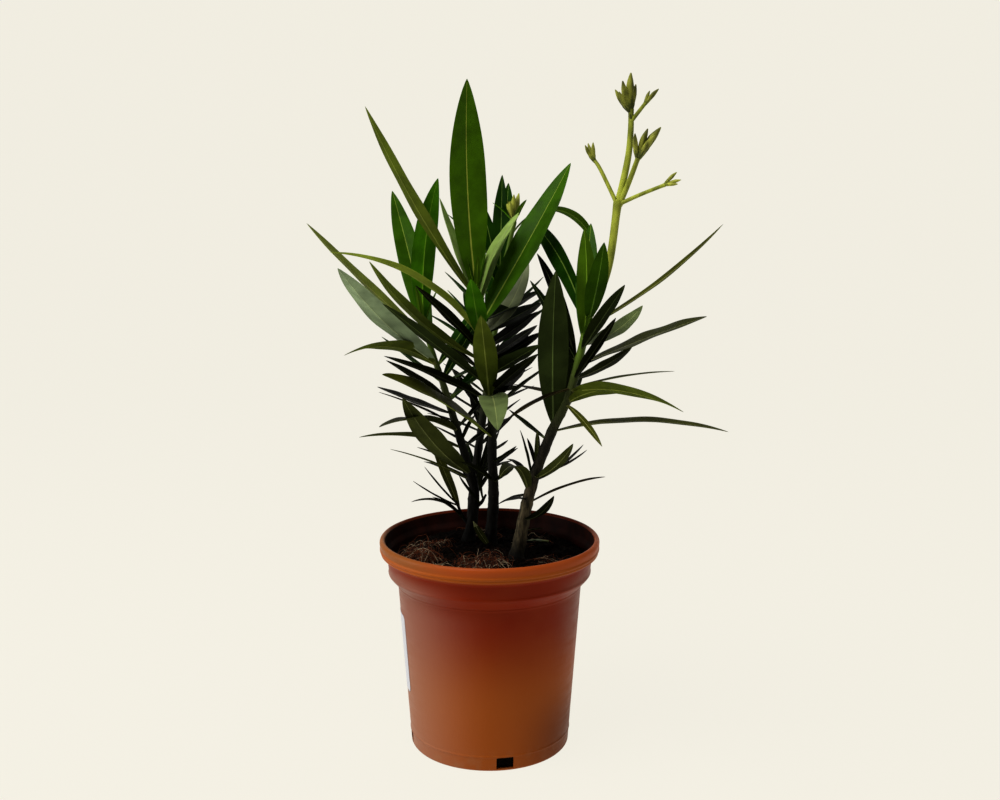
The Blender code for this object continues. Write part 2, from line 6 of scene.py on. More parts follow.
import bpy
import numpy as np
from mathutils.bvhtree import BVHTree
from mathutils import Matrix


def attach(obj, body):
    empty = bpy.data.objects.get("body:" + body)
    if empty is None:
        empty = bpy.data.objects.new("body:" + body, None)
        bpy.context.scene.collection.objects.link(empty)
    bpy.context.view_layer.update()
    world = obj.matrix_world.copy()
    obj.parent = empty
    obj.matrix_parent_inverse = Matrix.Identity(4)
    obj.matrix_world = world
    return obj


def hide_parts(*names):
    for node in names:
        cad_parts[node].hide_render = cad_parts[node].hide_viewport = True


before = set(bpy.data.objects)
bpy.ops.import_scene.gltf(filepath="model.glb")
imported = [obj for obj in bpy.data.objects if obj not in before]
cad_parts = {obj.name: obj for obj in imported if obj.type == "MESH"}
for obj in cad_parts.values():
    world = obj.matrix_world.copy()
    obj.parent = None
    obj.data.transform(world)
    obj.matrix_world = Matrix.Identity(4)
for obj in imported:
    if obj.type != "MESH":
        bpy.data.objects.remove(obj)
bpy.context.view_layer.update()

# ----------------------------------------
# Pot. An injection-moulded plastic nursery pot in terracotta brown: a tapering body, a wider collar
# that lets pots stack, a rolled lip, and drain slots cut through the foot of the wall.

MM = 0.001


class Value:
    """A socket among a material's nodes. Arithmetic on it adds Math nodes, so 1 - mask is a Value."""

    def __init__(self, tree, socket=None):
        self.tree = tree
        self.socket = socket

    def node(self, kind, settings=None, inputs=None, output=0):
        """One more node: its type, its settings, then a number, colour or Value for each input."""
        made = self.tree.nodes.new("ShaderNode" + kind)
        for name, setting in (settings or {}).items():
            setattr(made, name, setting)
        for name, given in (inputs or {}).items():
            if isinstance(given, Value):
                self.tree.links.new(given.socket, made.inputs[name])
            else:
                made.inputs[name].default_value = given
        return Value(self.tree, made.outputs[output])

    def maths(self, operation, *terms):
        return self.node("Math", {"operation": operation}, dict(enumerate(terms)))

    def __add__(self, other):
        return self.maths("ADD", self, other)

    def __sub__(self, other):
        return self.maths("SUBTRACT", self, other)

    def __rsub__(self, other):
        return self.maths("SUBTRACT", other, self)

    def __mul__(self, other):
        return self.maths("MULTIPLY", self, other)

    __radd__ = __add__
    __rmul__ = __mul__

    def within(self, low, high):
        """0 below low and 1 above high, with a smooth rise between."""
        settings = {"interpolation_type": "SMOOTHSTEP"}
        return self.node("MapRange", settings, {"Value": self, "From Min": low, "From Max": high})

    def mix(self, first, second):
        """The first colour where this is 0 and the second where it is 1."""
        return self.node("Mix", {"data_type": "RGBA"}, {0: self, 6: first, 7: second}, 2)

    def along(self, axis, chart=None):
        """How far each point lies along this axis of its object, or of a chart, in millimetres."""
        kind, settings = ("UVMap", {"uv_map": chart}) if chart else ("TexCoord", None)
        place = self.node(kind, settings, output="UV" if chart else "Object")
        return self.node("SeparateXYZ", None, {0: place}, axis) * (1 / MM)

    def noise(self, across, detail=3.0, stretch=(1, 1, 1), seed=0.0):
        """Soft random patches about this many millimetres across, from 0 to 1."""
        place = self.node("TexCoord", output="Object")
        place = self.node("Mapping", None, {"Vector": place, "Location": (seed, seed, seed),
                                            "Scale": tuple(1.0 / (MM * across * s) for s in stretch)})
        return self.node("TexNoise", None, {"Vector": place, "Scale": 1.0, "Detail": detail})


def colour(red, green, blue, gain=1.0):
    """A linear colour from one written as 0 to 255 on a screen."""
    screen = np.array((red, green, blue)) / 255.0
    linear = np.where(screen <= 0.04045, screen / 12.92, ((screen + 0.055) / 1.055) ** 2.4) * gain
    return (*linear.tolist(), 1.0)


def finish(name, roughness, specular=0.5, base=(0.5, 0.5, 0.5, 1.0)):
    """A new material of even gloss, its shader, and the first Value of its nodes."""
    made = bpy.data.materials.new(name)
    made.use_nodes = True
    shader = made.node_tree.nodes["Principled BSDF"]
    shader.inputs["Roughness"].default_value = roughness
    shader.inputs["Specular IOR Level"].default_value = specular
    shader.inputs["Base Color"].default_value = base
    made.diffuse_color = base
    return made, shader, Value(made.node_tree)


def feed(shader, socket, value):
    value.tree.links.new(value.socket, shader.inputs[socket])


def emboss(shader, height, depth):
    """Raises the surface's shading by a height from 0 to 1 of this many millimetres."""
    feed(shader, "Normal", height.node("Bump", None, {"Height": height, "Distance": depth * MM}))


def clouded(name, gloss, dark, light, patches, rise, most=1.0, grain=None):
    """A finish in soft patches of two colours. gloss is its roughness and specular, patches their
    size and detail, rise the noise that is wholly dark and wholly light, most the most light there
    is, and grain a relief's size, detail and depth."""
    made, shader, start = finish(name, *gloss)
    feed(shader, "Base Color", (start.noise(*patches).within(*rise) * most).mix(dark, light))
    if grain:
        emboss(shader, start.noise(*grain[:2]), grain[2])
    return made


def placed(name, data):
    """A new object in the scene that holds this mesh, light or camera."""
    made = bpy.data.objects.new(name, data)
    bpy.context.scene.collection.objects.link(made)
    return made


def piece(name, points, faces, finishes, slots=None, surface=None, crease=40.0):
    """An object in the frame from points in millimetres and its faces.

    slots gives the number of each face's finish, and surface each point's place on its own skin.
    """
    mesh = bpy.data.meshes.new(name)
    mesh.from_pydata((np.asarray(points) * MM).tolist(), [], faces)
    for material in finishes:
        mesh.materials.append(material)
    if slots is not None:
        mesh.polygons.foreach_set("material_index", np.asarray(slots, np.int32))
    if surface is not None:
        corners = np.empty(len(mesh.loops), np.int32)
        mesh.loops.foreach_get("vertex_index", corners)
        chart = mesh.uv_layers.new(name="skin")
        chart.data.foreach_set("uv", np.asarray(surface, np.float32)[corners].ravel())
    mesh.shade_smooth()
    mesh.set_sharp_from_angle(angle=math.radians(crease))
    mesh.update()
    return placed(name, mesh)


def skin(rows, sides, foot="open", head="open", closed=True):
    """Faces between rings of points, or between open rows of them. The first ring and the last stay
    open, get a "cap" or close on a "point", which follows the rings' points, the foot's first."""
    row, side = np.mgrid[0:rows - 1, 0:sides if closed else sides - 1]
    after = (side + 1) % sides
    faces = np.stack([row * sides + side, row * sides + after, (row + 1) * sides + after,
                      (row + 1) * sides + side], axis=-1).reshape(-1, 4).tolist()
    first, last, point = np.arange(sides), np.arange(sides) + (rows - 1) * sides, rows * sides
    if foot == "point":
        faces += [[after, before, point] for before, after in zip(first, np.roll(first, -1))]
        point += 1
    if head == "point":
        faces += [[before, after, point] for before, after in zip(last, np.roll(last, -1))]
    return faces + [first[::-1]] * (foot == "cap") + [last] * (head == "cap")


def around(turns, radius=1.0):
    """Points (x, y) at these turns, in radians, round a circle."""
    return np.stack([radius * np.cos(turns), radius * np.sin(turns)], axis=-1)


def rounded(corners, steps=6):
    """A line through corners given as (radius, height, rounding), each turned on a small curve that
    leaves one side and meets the other at the rounding's distance from the corner."""
    at = np.array([corner[:2] for corner in corners], float)
    line = [at[:1]]
    share = np.linspace(0.0, 1.0, steps)[:, None]
    for before, corner, after, (_, _, size) in zip(at, at[1:], at[2:], corners[1:-1]):
        start, end = (corner + (far - corner) * min(size / np.linalg.norm(far - corner), 0.5)
                      for far in (before, after))
        line.append((1 - share) ** 2 * start + 2 * share * (1 - share) * corner + share**2 * end)
    return np.vstack(line + [at[-1:]])


def turned(profile, segments):
    """Points and faces of a profile of (radius, height) carried round Z, its two ends on the axis."""
    inner = profile[1:-1]
    flat = inner[:, None, :1] * around(np.arange(segments) * math.tau / segments)
    height = np.broadcast_to(inner[:, None, 1:], (*flat.shape[:2], 1))
    ends = [(0.0, 0.0, profile[0, 1]), (0.0, 0.0, profile[-1, 1])]
    return (np.vstack([np.dstack([flat, height]).reshape(-1, 3), ends]),
            skin(len(inner), segments, "point", "point"))


POT_SEGMENTS = 224
POT_CREASE = 50.0
POT_OUTSIDE = [  # radius, height and rounding of each corner, from the middle of the underside
    (0, 1.4, 0), (50, 1.4, 1), (51.5, 0, 0.8), (60.6, 0, 0.5), (61.7, 1.3, 0.8), (62.35, 10.6, 0.3),
    (62.7, 11.2, 0.3), (62.75, 12.2, 0.3), (62.5, 12.8, 0.3), (70.7, 127.6, 2.2), (71.2, 128.4, 0.6),
    (71.1, 129.6, 0.6), (77.5, 136.8, 1.6), (78.35, 138.2, 0.9), (77.95, 140.0, 0.9),
    (78.7, 149.6, 0.8), (80.2, 151.2, 0.5),
    (80.8, 152.3, 0.4), (83.2, 152.9, 0.6), (83.9, 153.8, 0.6), (83.7, 155.2, 0.4),
    (84.5, 155.9, 0.45), (84.55, 157.0, 0.45), (84.1, 157.8, 0.5), (84.9, 162.3, 3.2),
    (83.2, 164.5, 1.8), (81.6, 164.5, 1.2)]
POT_INSIDE = [(80.5, 163.0, 0.8), (79.4, 155.1, 1), (77.2, 151.2, 1), (76.2, 140.4, 1.5),
              (68.9, 130.6, 2), (60, 2.4, 1), (0, 2.4, 0)]
SLOT_COUNT = 4
SLOT_WIDTH = 13.0
SLOT_HEIGHT = 11.0
SLOT_SILL = 1.7
SLOT_RADII = (52.6, 70.6)  # from inside the wall to outside it
SLOT_BEARING = -79.0
SLOT_ROUNDING = 1.4


def slot_cutter(bearing):
    """A block with rounded upper edges that lies across the foot of the wall at this bearing."""
    half = 0.5 * SLOT_WIDTH
    outline = rounded([(half, SLOT_SILL, 0), (half, SLOT_HEIGHT, SLOT_ROUNDING),
                       (-half, SLOT_HEIGHT, SLOT_ROUNDING), (-half, SLOT_SILL, 0)])
    out, level = around(np.array((bearing, bearing + math.pi / 2)))
    flat = np.array(SLOT_RADII)[:, None, None] * out + outline[:, :1] * level
    height = np.broadcast_to(outline[:, 1:], (*flat.shape[:2], 1))
    return piece("slot_cutter", np.dstack([flat, height]).reshape(-1, 3),
                 skin(2, len(outline), "cap", "cap"), [])


def pot_plastic():
    """Satin terracotta plastic, dusty at its foot, with specks, scuffs and a fine grain. Painted shade
    makes the upper body darker and redder, the back of the rim dark red and the body low on the right
    darker; a painted sheen pales the rim towards the left and lays a pale grey down the left side and
    high on the right."""
    made, shader, start = finish("terracotta_plastic", 0.4, 0.1)
    side, depth, height = (start.along(axis) for axis in "XYZ")
    # painted shade: the upper body, below the lip, turns darker and redder
    upper_body_shade = height.within(44, 124) * (1 - height.within(150, 154))
    # painted sheen: the rim's tone is paler and greyer towards the left
    rim_left_sheen = side.within(-70, -14).mix(colour(143, 88, 42), colour(174, 85, 34))
    # painted shade: the top of the rim from the middle to the back turns dark red
    back_rim_shade = depth.within(-12, 40) * height.within(150, 156)
    # painted shade: the body low on the right turns darker
    low_right_shade = side.within(12, 60) * (1 - height.within(16, 72))
    # painted sheen: a pale grey down the left side, narrower above the collar, and a weaker patch high
    # on the right
    left = 1 - side.within(-72, 4)
    left = left * (1 - height.within(116, 132) * (1 - left))
    side_sheen = left * 0.62 + side.within(46, 72) * height.within(72, 108) * 0.4
    dust = (1 - height.within(0, 22)) * start.noise(7, 5).within(0.42, 0.75)
    speck = start.noise(0.9, 2, seed=3).within(0.7, 0.76)
    body = upper_body_shade.mix(colour(165, 88, 28), colour(134, 38, 0))
    for mask, tone in ((start.noise(40, 2).within(0.25, 0.75) * 0.12, colour(176, 96, 44)),
                       (height.within(156, 160), rim_left_sheen),
                       (back_rim_shade * 0.8, colour(84, 14, 6)),
                       (low_right_shade * 0.65, colour(88, 40, 16)),
                       (side_sheen * (1 - height.within(139, 151)), colour(150, 119, 104)),
                       (dust * 0.3 + speck * 0.15, colour(158, 122, 92))):
        body = mask.mix(body, tone)
    feed(shader, "Base Color", body)
    scuff = start.noise(16, 6, (1, 1, 0.25), seed=5)
    feed(shader, "Roughness", scuff.within(0.25, 0.8) * 0.16 + 0.33 + dust * 0.2)
    emboss(shader, start.noise(0.8, 2) * 0.5 + start.noise(9, 2, (1, 1, 3)), 0.12)
    return made


def pot_lining():
    """The inside of the pot: the same plastic, dulled and painted near black-red as the shade that the
    rim and the foliage cast into it.
    """
    return clouded("shaded_lining_plastic", (0.6, 0.12), colour(34, 11, 6), colour(58, 20, 11), (12, 4),
                   (0.3, 0.7))


pot_line = rounded(POT_OUTSIDE + POT_INSIDE)
pot_points, pot_faces = turned(pot_line, POT_SEGMENTS)
inward = np.flatnonzero(pot_line[:, 1] > POT_INSIDE[0][1]).max()
pot_sides = (np.arange(len(pot_faces)) // POT_SEGMENTS >= inward).astype(int)
pot_sides[-2 * POT_SEGMENTS:-POT_SEGMENTS] = 0
pot_shell = piece("pot_shell", pot_points, pot_faces, [pot_plastic(), pot_lining()],
                  slots=pot_sides, crease=POT_CREASE)
for number in range(SLOT_COUNT):
    cutter = slot_cutter(math.radians(SLOT_BEARING + number * 360.0 / SLOT_COUNT))
    cut = pot_shell.modifiers.new("drain_slot", "BOOLEAN")
    cut.operation = "DIFFERENCE"
    cut.solver = "EXACT"
    cut.object = cutter
    graph = bpy.context.evaluated_depsgraph_get()
    cut_mesh = bpy.data.meshes.new_from_object(pot_shell.evaluated_get(graph))
    pot_shell.modifiers.clear()
    pot_shell.data = cut_mesh
    bpy.data.objects.remove(cutter, do_unlink=True)
pot_shell.data.set_sharp_from_angle(angle=math.radians(POT_CREASE))
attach(pot_shell, "root")
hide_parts("pot")

# ----------------------------------------
# Label. A blank white sticker of coated paper, wrapped on the left of the pot's body and left bare.

LABEL_BEARINGS = (166.0, 201.0)
LABEL_HEIGHTS = (46.0, 108.0)
LABEL_STANDS = 0.12  # off the wall
LABEL_THICKNESS = 0.16
LABEL_CORNER = 3.0
WALL_HEIGHTS = (12.8, 125.6)  # of the pot's plain tapering wall
WALL_RADII = (62.5, 70.5)
LABEL_RADIUS = 66.0  # of the wall behind the label's middle


def label_sheet(columns=40, rows=32):
    """A grid on the pot's cone, bearing by height, its corners drawn in by a rounded outline."""
    across, up = np.meshgrid(np.linspace(-1, 1, columns), np.linspace(-1, 1, rows))
    half_turn = math.radians(np.ptp(LABEL_BEARINGS)) / 2
    half_height = np.ptp(LABEL_HEIGHTS) / 2
    half_width = half_turn * LABEL_RADIUS
    past = np.clip(np.abs(up) * half_height - half_height + LABEL_CORNER, 0, None)
    inset = LABEL_CORNER - np.sqrt(np.clip(LABEL_CORNER**2 - past**2, 0, None))
    turn = math.radians(sum(LABEL_BEARINGS) / 2) + across * (1 - inset / half_width) * half_turn
    height = sum(LABEL_HEIGHTS) / 2 + up * half_height
    radius = np.interp(height, WALL_HEIGHTS, WALL_RADII) + LABEL_STANDS
    return np.dstack([around(turn, radius), height]).reshape(-1, 3), skin(rows, columns, closed=False)


def label_paper():
    """Coated white paper, a little greyed in patches and faintly cockled."""
    return clouded("label_paper", (0.45, 0.5), colour(198, 200, 208), colour(176, 174, 178), (22, 4),
                   (0.45, 0.8), 0.35, (5, 3, 0.08))


pot_label = piece("pot_label", *label_sheet(), [label_paper()])
wall = pot_label.modifiers.new("paper", "SOLIDIFY")
wall.thickness = LABEL_THICKNESS * MM
wall.offset = 1.0
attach(pot_label, "root")

# ----------------------------------------
# Potting mix. Dark peat with coir: a lumpy bed that fills the pot to just under the lip, crumbs of
# peat lying on it, and tangles of reddish coir fibre and pale straw worked up to the top.

MIX_RINGS = 84
MIX_SIDES = 240
MIX_SIDE = [(0, 2.7), (59.7, 2.7), (68.3, 130.9), (75.7, 141.0), (76.1, 146.5)]
MIX_TOP = 151.6
MIX_RADIUS = 76.0
MIX_FLAT_RADIUS = 58.0
MIX_EDGE_DROP = 4.6
MIX_LUMPS = ((1.5, 34), (1.0, 13), (0.6, 5.5), (0.3, 2.6))  # height and breadth of each kind
LOOSE_RADIUS = 74.0  # how far out crumbs and fibres lie
CRUMBS = 1500
CRUMB_SIZES = (0.5, 2.0)
CRUMB_JOG = (0.6, 1.3)  # how far each corner is moved out or in
CRUMB_SQUASH = 0.7
TANGLES = (  # bearing, distance from the middle, spread, height and number of fibres of each tangle
    (-165, 57, 8, 9, 80), (-150, 54, 9, 11, 90), (176, 50, 8, 8, 40), (-100, 50, 8, 10, 100),
    (-112, 44, 7, 8, 50), (-92, 26, 6, 11, 70), (-80, 36, 8, 5, 50), (-124, 60, 7, 5, 30),
    (-30, 54, 9, 5, 24), (100, 48, 16, 3, 30), (40, 50, 16, 3, 20), (150, 44, 9, 5, 30))
FIBRE_STEPS = 9
FIBRE_SIDES = 4
FIBRE_TOP = 163.0
FIBRE_LENGTHS = (9, 30)
FIBRE_RADII = (0.12, 0.3)
FIBRE_TAPER = 0.45
FIBRE_BEND = 2.4  # radians, to either side
FIBRE_SINK = 0.4  # of its ends, into the bed
FIBRE_SHARES = (0.47, 0.36, 0.17)  # of the red, the dark and the pale
FIBRE_ROOT_RADIUS = 70.0

mix_rng = np.random.default_rng(5)


def ripple(points, across, seed, waves=14):
    """Soft relief from -1 to 1: the mean of many plane waves, each about this long, one way each."""
    rng = np.random.default_rng(seed)
    ways = rng.normal(size=(waves, points.shape[-1]))
    ways *= math.tau / (across * rng.uniform(0.6, 1.5, (waves, 1))
                        * np.linalg.norm(ways, axis=1, keepdims=True))
    return np.cos(points @ ways.T + rng.uniform(0, math.tau, waves)).sum(-1) * math.sqrt(2 / waves) / 1.8


def mix_height(flat):
    """Height of the bed's top at points given as (x, y): level, lower at the wall, and lumpy."""
    radius = np.linalg.norm(flat, axis=-1)
    edge = np.clip((radius - MIX_FLAT_RADIUS) / (MIX_RADIUS - MIX_FLAT_RADIUS), 0, 1)
    lumps = sum(size * ripple(flat, across, seed) for seed, (size, across) in enumerate(MIX_LUMPS, 1))
    return MIX_TOP - MIX_EDGE_DROP * edge**2 + lumps * (1.0 - 0.5 * edge)


def mix_bed():
    """The bed: a profile turned round Z, whose top rings then take their height from mix_height."""
    top = np.stack([np.linspace(MIX_RADIUS, 0.0, MIX_RINGS), np.full(MIX_RINGS, MIX_TOP)], axis=1)
    points, faces = turned(np.vstack([MIX_SIDE, top]), MIX_SIDES)
    on_top = points[:, 2] > MIX_TOP - 0.01
    points[on_top, 2] = mix_height(points[on_top, :2])
    return points, faces


def mix_peat(name, dark, light):
    """Dull peat: near black, with brown grains and a coarse broken surface."""
    return clouded(name, (0.95, 0.05), dark, light, (2.2, 5), (0.42, 0.72), grain=(1.3, 5, 0.9))


def crumbs():
    """Crumbs of peat: one eight-faced lump each, squashed and jogged at random, resting on the bed."""
    corners = np.array([(1, 0, 0), (0, 1, 0), (-1, 0, 0), (0, -1, 0), (0, 0, 1), (0, 0, -1)], float)
    sides = [(i, (i + 1) % 4, 4) for i in range(4)] + [((i + 1) % 4, i, 5) for i in range(4)]
    reach = LOOSE_RADIUS * np.sqrt(mix_rng.uniform(0, 1, CRUMBS))
    flat = around(mix_rng.uniform(0, math.tau, CRUMBS), reach)
    size = CRUMB_SIZES[0] + np.ptp(CRUMB_SIZES) * mix_rng.uniform(0, 1, CRUMBS) ** 2.5
    shape = corners * size[:, None, None] * mix_rng.uniform(*CRUMB_JOG, (CRUMBS, 6, 3))
    spun = around(mix_rng.uniform(0, math.tau, CRUMBS))[:, None]
    x = shape[..., 0] * spun[..., 0] - shape[..., 1] * spun[..., 1]
    y = shape[..., 0] * spun[..., 1] + shape[..., 1] * spun[..., 0]
    middle = np.column_stack([flat, mix_height(flat) + 0.25 * size])
    points = middle[:, None] + np.stack([x, y, CRUMB_SQUASH * shape[..., 2]], axis=-1)
    faces = np.array(sides) + 6 * np.arange(CRUMBS)[:, None, None]
    return points.reshape(-1, 3), faces.reshape(-1, 3).tolist()


def tubes(paths, radii, sides, upright=(0.0, 1.0, 0.0), ahead=None):
    """Points of a ring carried along each path, square to it, and the rings' faces with their ends.

    paths is (tubes, steps, 3), radii gives a radius for each step or for each point of a ring, and
    ahead is the way that the rings face where that isn't their path's.
    """
    count, steps = paths.shape[:2]
    along = np.gradient(paths, axis=1) if ahead is None else np.broadcast_to(ahead, paths.shape)
    along = along / np.linalg.norm(along, axis=-1, keepdims=True)
    across = np.cross(upright, along)
    across /= np.linalg.norm(across, axis=-1, keepdims=True)
    other = np.cross(along, across)
    turns = (np.arange(sides) * math.tau / sides)[:, None]
    ring = np.cos(turns) * across[:, :, None] + np.sin(turns) * other[:, :, None]
    points = paths[:, :, None] + (radii if radii.ndim > 2 else radii[..., None])[..., None] * ring
    one = skin(steps, sides, "cap", "cap")
    faces = [[index + tube * steps * sides for index in face] for tube in range(count) for face in one]
    return points.reshape(-1, 3), faces


def fibres():
    """Coir fibres: each leaves the bed in its tangle, arches up and bends as it goes, and comes down."""
    rows = np.repeat(np.array(TANGLES, float), [tangle[-1] for tangle in TANGLES], axis=0)
    bearing, distance, spread, height, _ = rows.T
    count = len(rows)
    flat = around(np.radians(bearing), distance)
    flat += 0.6 * spread[:, None] * mix_rng.normal(size=(count, 2))
    flat *= np.minimum(1.0, FIBRE_ROOT_RADIUS / np.linalg.norm(flat, axis=1, keepdims=True))
    rise = height * mix_rng.uniform(0.1, 1.0, count)
    length = mix_rng.uniform(*FIBRE_LENGTHS, count)
    heading = mix_rng.uniform(0, math.tau, count)
    share = np.linspace(0, 1, FIBRE_STEPS)
    bend = mix_rng.uniform(-FIBRE_BEND, FIBRE_BEND, (count, 1)) * share + 0.5 * np.sin(
        math.tau * (share * mix_rng.uniform(0.8, 2.2, (count, 1)) + mix_rng.uniform(0, 1, (count, 1))))
    step = length[:, None, None] / (FIBRE_STEPS - 1) * around(heading[:, None] + bend)
    track = flat[:, None] + np.cumsum(step, axis=1) - 0.5 * step.sum(1, keepdims=True)
    track *= np.minimum(1.0, LOOSE_RADIUS / np.linalg.norm(track, axis=-1, keepdims=True))
    arch = np.sin(math.pi * share) * rise[:, None] - FIBRE_SINK + 0.5 * np.cumsum(
        mix_rng.normal(size=(count, FIBRE_STEPS)), axis=1) / 3.0
    paths = np.dstack([track, np.minimum(mix_height(track) + arch, FIBRE_TOP)])
    radii = mix_rng.uniform(*FIBRE_RADII, (count, 1)) * (1.0 - FIBRE_TAPER * share)
    points, faces = tubes(paths, radii, FIBRE_SIDES, upright=(0.13, 0.21, 1.0))
    kind = mix_rng.choice(3, count, p=FIBRE_SHARES)
    return points, faces, np.repeat(kind, len(faces) // count)


def fibre_finish(name, tone, roughness=0.75):
    """Dry plant fibre in one tone, a little lighter and darker along its length."""
    dull = (*np.multiply(tone[:3], 0.55), 1.0)
    return clouded(name, (roughness, 0.2), dull, tone, (3.5, 3), (0.35, 0.65))


mix_surface = piece("mix_surface", *mix_bed(),
                    [mix_peat("peat", colour(8, 6, 5), colour(27, 18, 13))], crease=70)
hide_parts("potting_mix")
mix_crumbs = piece("mix_crumbs", *crumbs(),
                   [mix_peat("peat_crumb", colour(12, 8, 6), colour(38, 25, 18))], crease=20)
coir_points, coir_faces, coir_kinds = fibres()
mix_fibres = piece("mix_fibres", coir_points, coir_faces, [
    fibre_finish("coir_red", colour(128, 68, 36)), fibre_finish("coir_dark", colour(54, 34, 26)),
    fibre_finish("straw_pale", colour(206, 184, 152), 0.6)], slots=coir_kinds, crease=60)
for bedding in (mix_surface, mix_crumbs, mix_fibres):
    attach(bedding, "root")

# ----------------------------------------
# Stems. Four woody stems with rough brown bark at the foot that turns smooth and green towards the
# head, swollen a little and scarred at each whorl, growing straight out of the mix.

ROUTES = {
    "right": ((20, -15, 150), (31, -18, 206), (45, -20, 247), (58, -22, 276), (66, -22, 305),
              (74, -20, 340)),
    "centre": ((0, 25, 150), (3, 16, 190), (2, 6, 225), (2, -2, 250), (0, -5, 275), (-4, -4, 300),
               (-7, 0, 325), (-10, 4, 354)),
    "left": ((-17, 35, 150), (-12, 30, 188), (-17, 24, 215), (-26, 16, 248), (-34, 10, 277),
             (-42, 6, 303), (-50, 4, 328)),
    "back": ((-15, 50, 150), (-14, 52, 185), (-6, 55, 245), (3, 57, 310), (12, 55, 370),
             (20, 52, 405)),
}
RADII = {"right": (4.8, 2.6), "centre": (4.4, 2.0), "left": (4.2, 1.8), "back": (3.6, 1.6)}
STEM_FOOT = 152.0
STEM_BURIED = 7.0  # in the mix
FOOT_FLARE = 1.0
FOOT_FLARE_HEIGHT = 9.0
BARK_STEP = 0.9
BARK_SIDES = 30
BARK_FURROW = 0.07  # of the stem's radius
BARK_AGES = (110.0, 0.12)  # the height over which bark ages, and the age of the youngest
GREEN_HEIGHT = 300.0  # where old bark gives way to smooth green skin
NODE_PITCH = 14.0
NODE_SWELLING = 0.09
NODE_SPREAD = 2.6
SCARS = 3
SCAR_DEPTH = 0.1
SCAR_DROP = 1.6  # below the node
SCAR_HEIGHT = 1.5
SCAR_TURN = 0.8


def smooth_route(points, steps=20):
    """Points of a smooth curve through the given ones, each span a cubic set by its neighbours."""
    given = np.array(points, float)
    given = np.vstack([2 * given[0] - given[1], given, 2 * given[-1] - given[-2]])
    share = np.linspace(0.0, 1.0, steps, endpoint=False)[:, None]
    spans = []
    for p0, p1, p2, p3 in zip(given, given[1:], given[2:], given[3:]):
        spans.append(0.5 * (2 * p1 + (p2 - p0) * share + (2 * p0 - 5 * p1 + 4 * p2 - p3) * share**2
                            + (3 * p1 - p0 - 3 * p2 + p3) * share**3))
    return np.vstack(spans + [given[-2][None]])


CURVES = {name: smooth_route(points) for name, points in ROUTES.items()}


def stem_point(stem, height):
    """The stem's centre at this height, or at several."""
    curve = CURVES[stem]
    x, y = (np.interp(height, curve[:, 2], curve[:, axis]) for axis in range(2))
    return np.stack([x, y, np.asarray(height, float)], axis=-1)


def stem_radius(stem, height):
    """The stem's radius at this height: an even taper and a flare at its foot."""
    foot, tip = RADII[stem]
    share = (height - STEM_FOOT) / (ROUTES[stem][-1][2] - STEM_FOOT)
    return foot + (tip - foot) * share + FOOT_FLARE * np.exp((STEM_FOOT - height) / FOOT_FLARE_HEIGHT)


def bark_skin(stem, seed):
    """A stem's skin: rings up its route, their radius furrowed lengthwise where the bark is old,
    swollen at each node, and dented beside each node by the scars of three fallen leaves."""
    heights = np.arange(STEM_FOOT - STEM_BURIED, ROUTES[stem][-1][2], BARK_STEP)
    turn, level = np.meshgrid(np.arange(BARK_SIDES) * math.tau / BARK_SIDES, heights)
    ring = np.dstack([around(turn, 6.0), level * 0.16])
    rough = ripple(ring, 3.4, seed) + 0.6 * ripple(ring * (1, 1, 3), 1.7, seed + 1)
    age = np.clip((GREEN_HEIGHT - level) / BARK_AGES[0], BARK_AGES[1], 1)
    past = (level - STEM_FOOT) / NODE_PITCH
    from_node = (past - np.round(past)) * NODE_PITCH
    swelling = NODE_SWELLING * np.exp(-((from_node / NODE_SPREAD) ** 2))
    scar_turn = (turn * SCARS + 2.4 * np.round(past) + seed) % math.tau - math.pi
    scar = np.exp(-((scar_turn / SCAR_TURN) ** 2) - (((from_node + SCAR_DROP) / SCAR_HEIGHT) ** 2))
    swell = 1 + BARK_FURROW * age * rough + swelling - SCAR_DEPTH * scar
    radii = stem_radius(stem, np.maximum(level, STEM_FOOT)) * swell
    end = np.clip((heights[-1] - level) / 3.0, 0, 1)
    radii = radii * np.sqrt(np.clip(1 - (1 - end) ** 2, 0.04, 1))
    return tubes(stem_point(stem, heights)[None], radii[None], BARK_SIDES)


def stem_bark():
    """Bark: dark brown with pale flecks low down, olive halfway, and fresh green skin at the head,
    turned near black by painted shade at the foot, in a band inside the crown and on all stems but
    the right one.
    """
    made, shader, start = finish("stem_bark", 0.7, 0.3)
    lifted = start.along("Z") + start.noise(9, 3, (1, 1, 3)) * 26
    grain = start.noise(2.4, 5, (1, 1, 4)).within(0.35, 0.7)
    # painted shade: the bark is near black on the stems left of x = 8 mm, inside the crown, and brown on
    # the right stem
    brown = start.along("X").within(8, 18).mix(
        grain.mix(colour(7, 6, 4), colour(28, 25, 17)),
        grain.mix(colour(54, 47, 32), colour(112, 101, 74)))
    fleck = start.noise(1.1, 3, (1, 1, 1.6), seed=2).within(0.66, 0.74)
    brown = (fleck * 0.5).mix(brown, colour(96, 88, 64))
    # painted shade: a near-black band of bark inside the crown, from about 206 mm up to the olive
    sooty = (lifted.within(206, 232) * 0.8).mix(brown, colour(20, 20, 10))
    olive = lifted.within(250, 300).mix(sooty, colour(66, 76, 26))
    green = lifted.within(296, 332).mix(olive, colour(96, 122, 34))
    # painted shade: the foot of each stem, up to about 175 mm, is near black
    foot_shade = lifted.within(162, 188)
    feed(shader, "Base Color", foot_shade.mix(colour(9, 8, 5), green))
    feed(shader, "Roughness", 0.85 - lifted.within(240, 320) * 0.35)
    emboss(shader, start.noise(0.9, 4, (1, 1, 3.5)), 0.35)
    return made


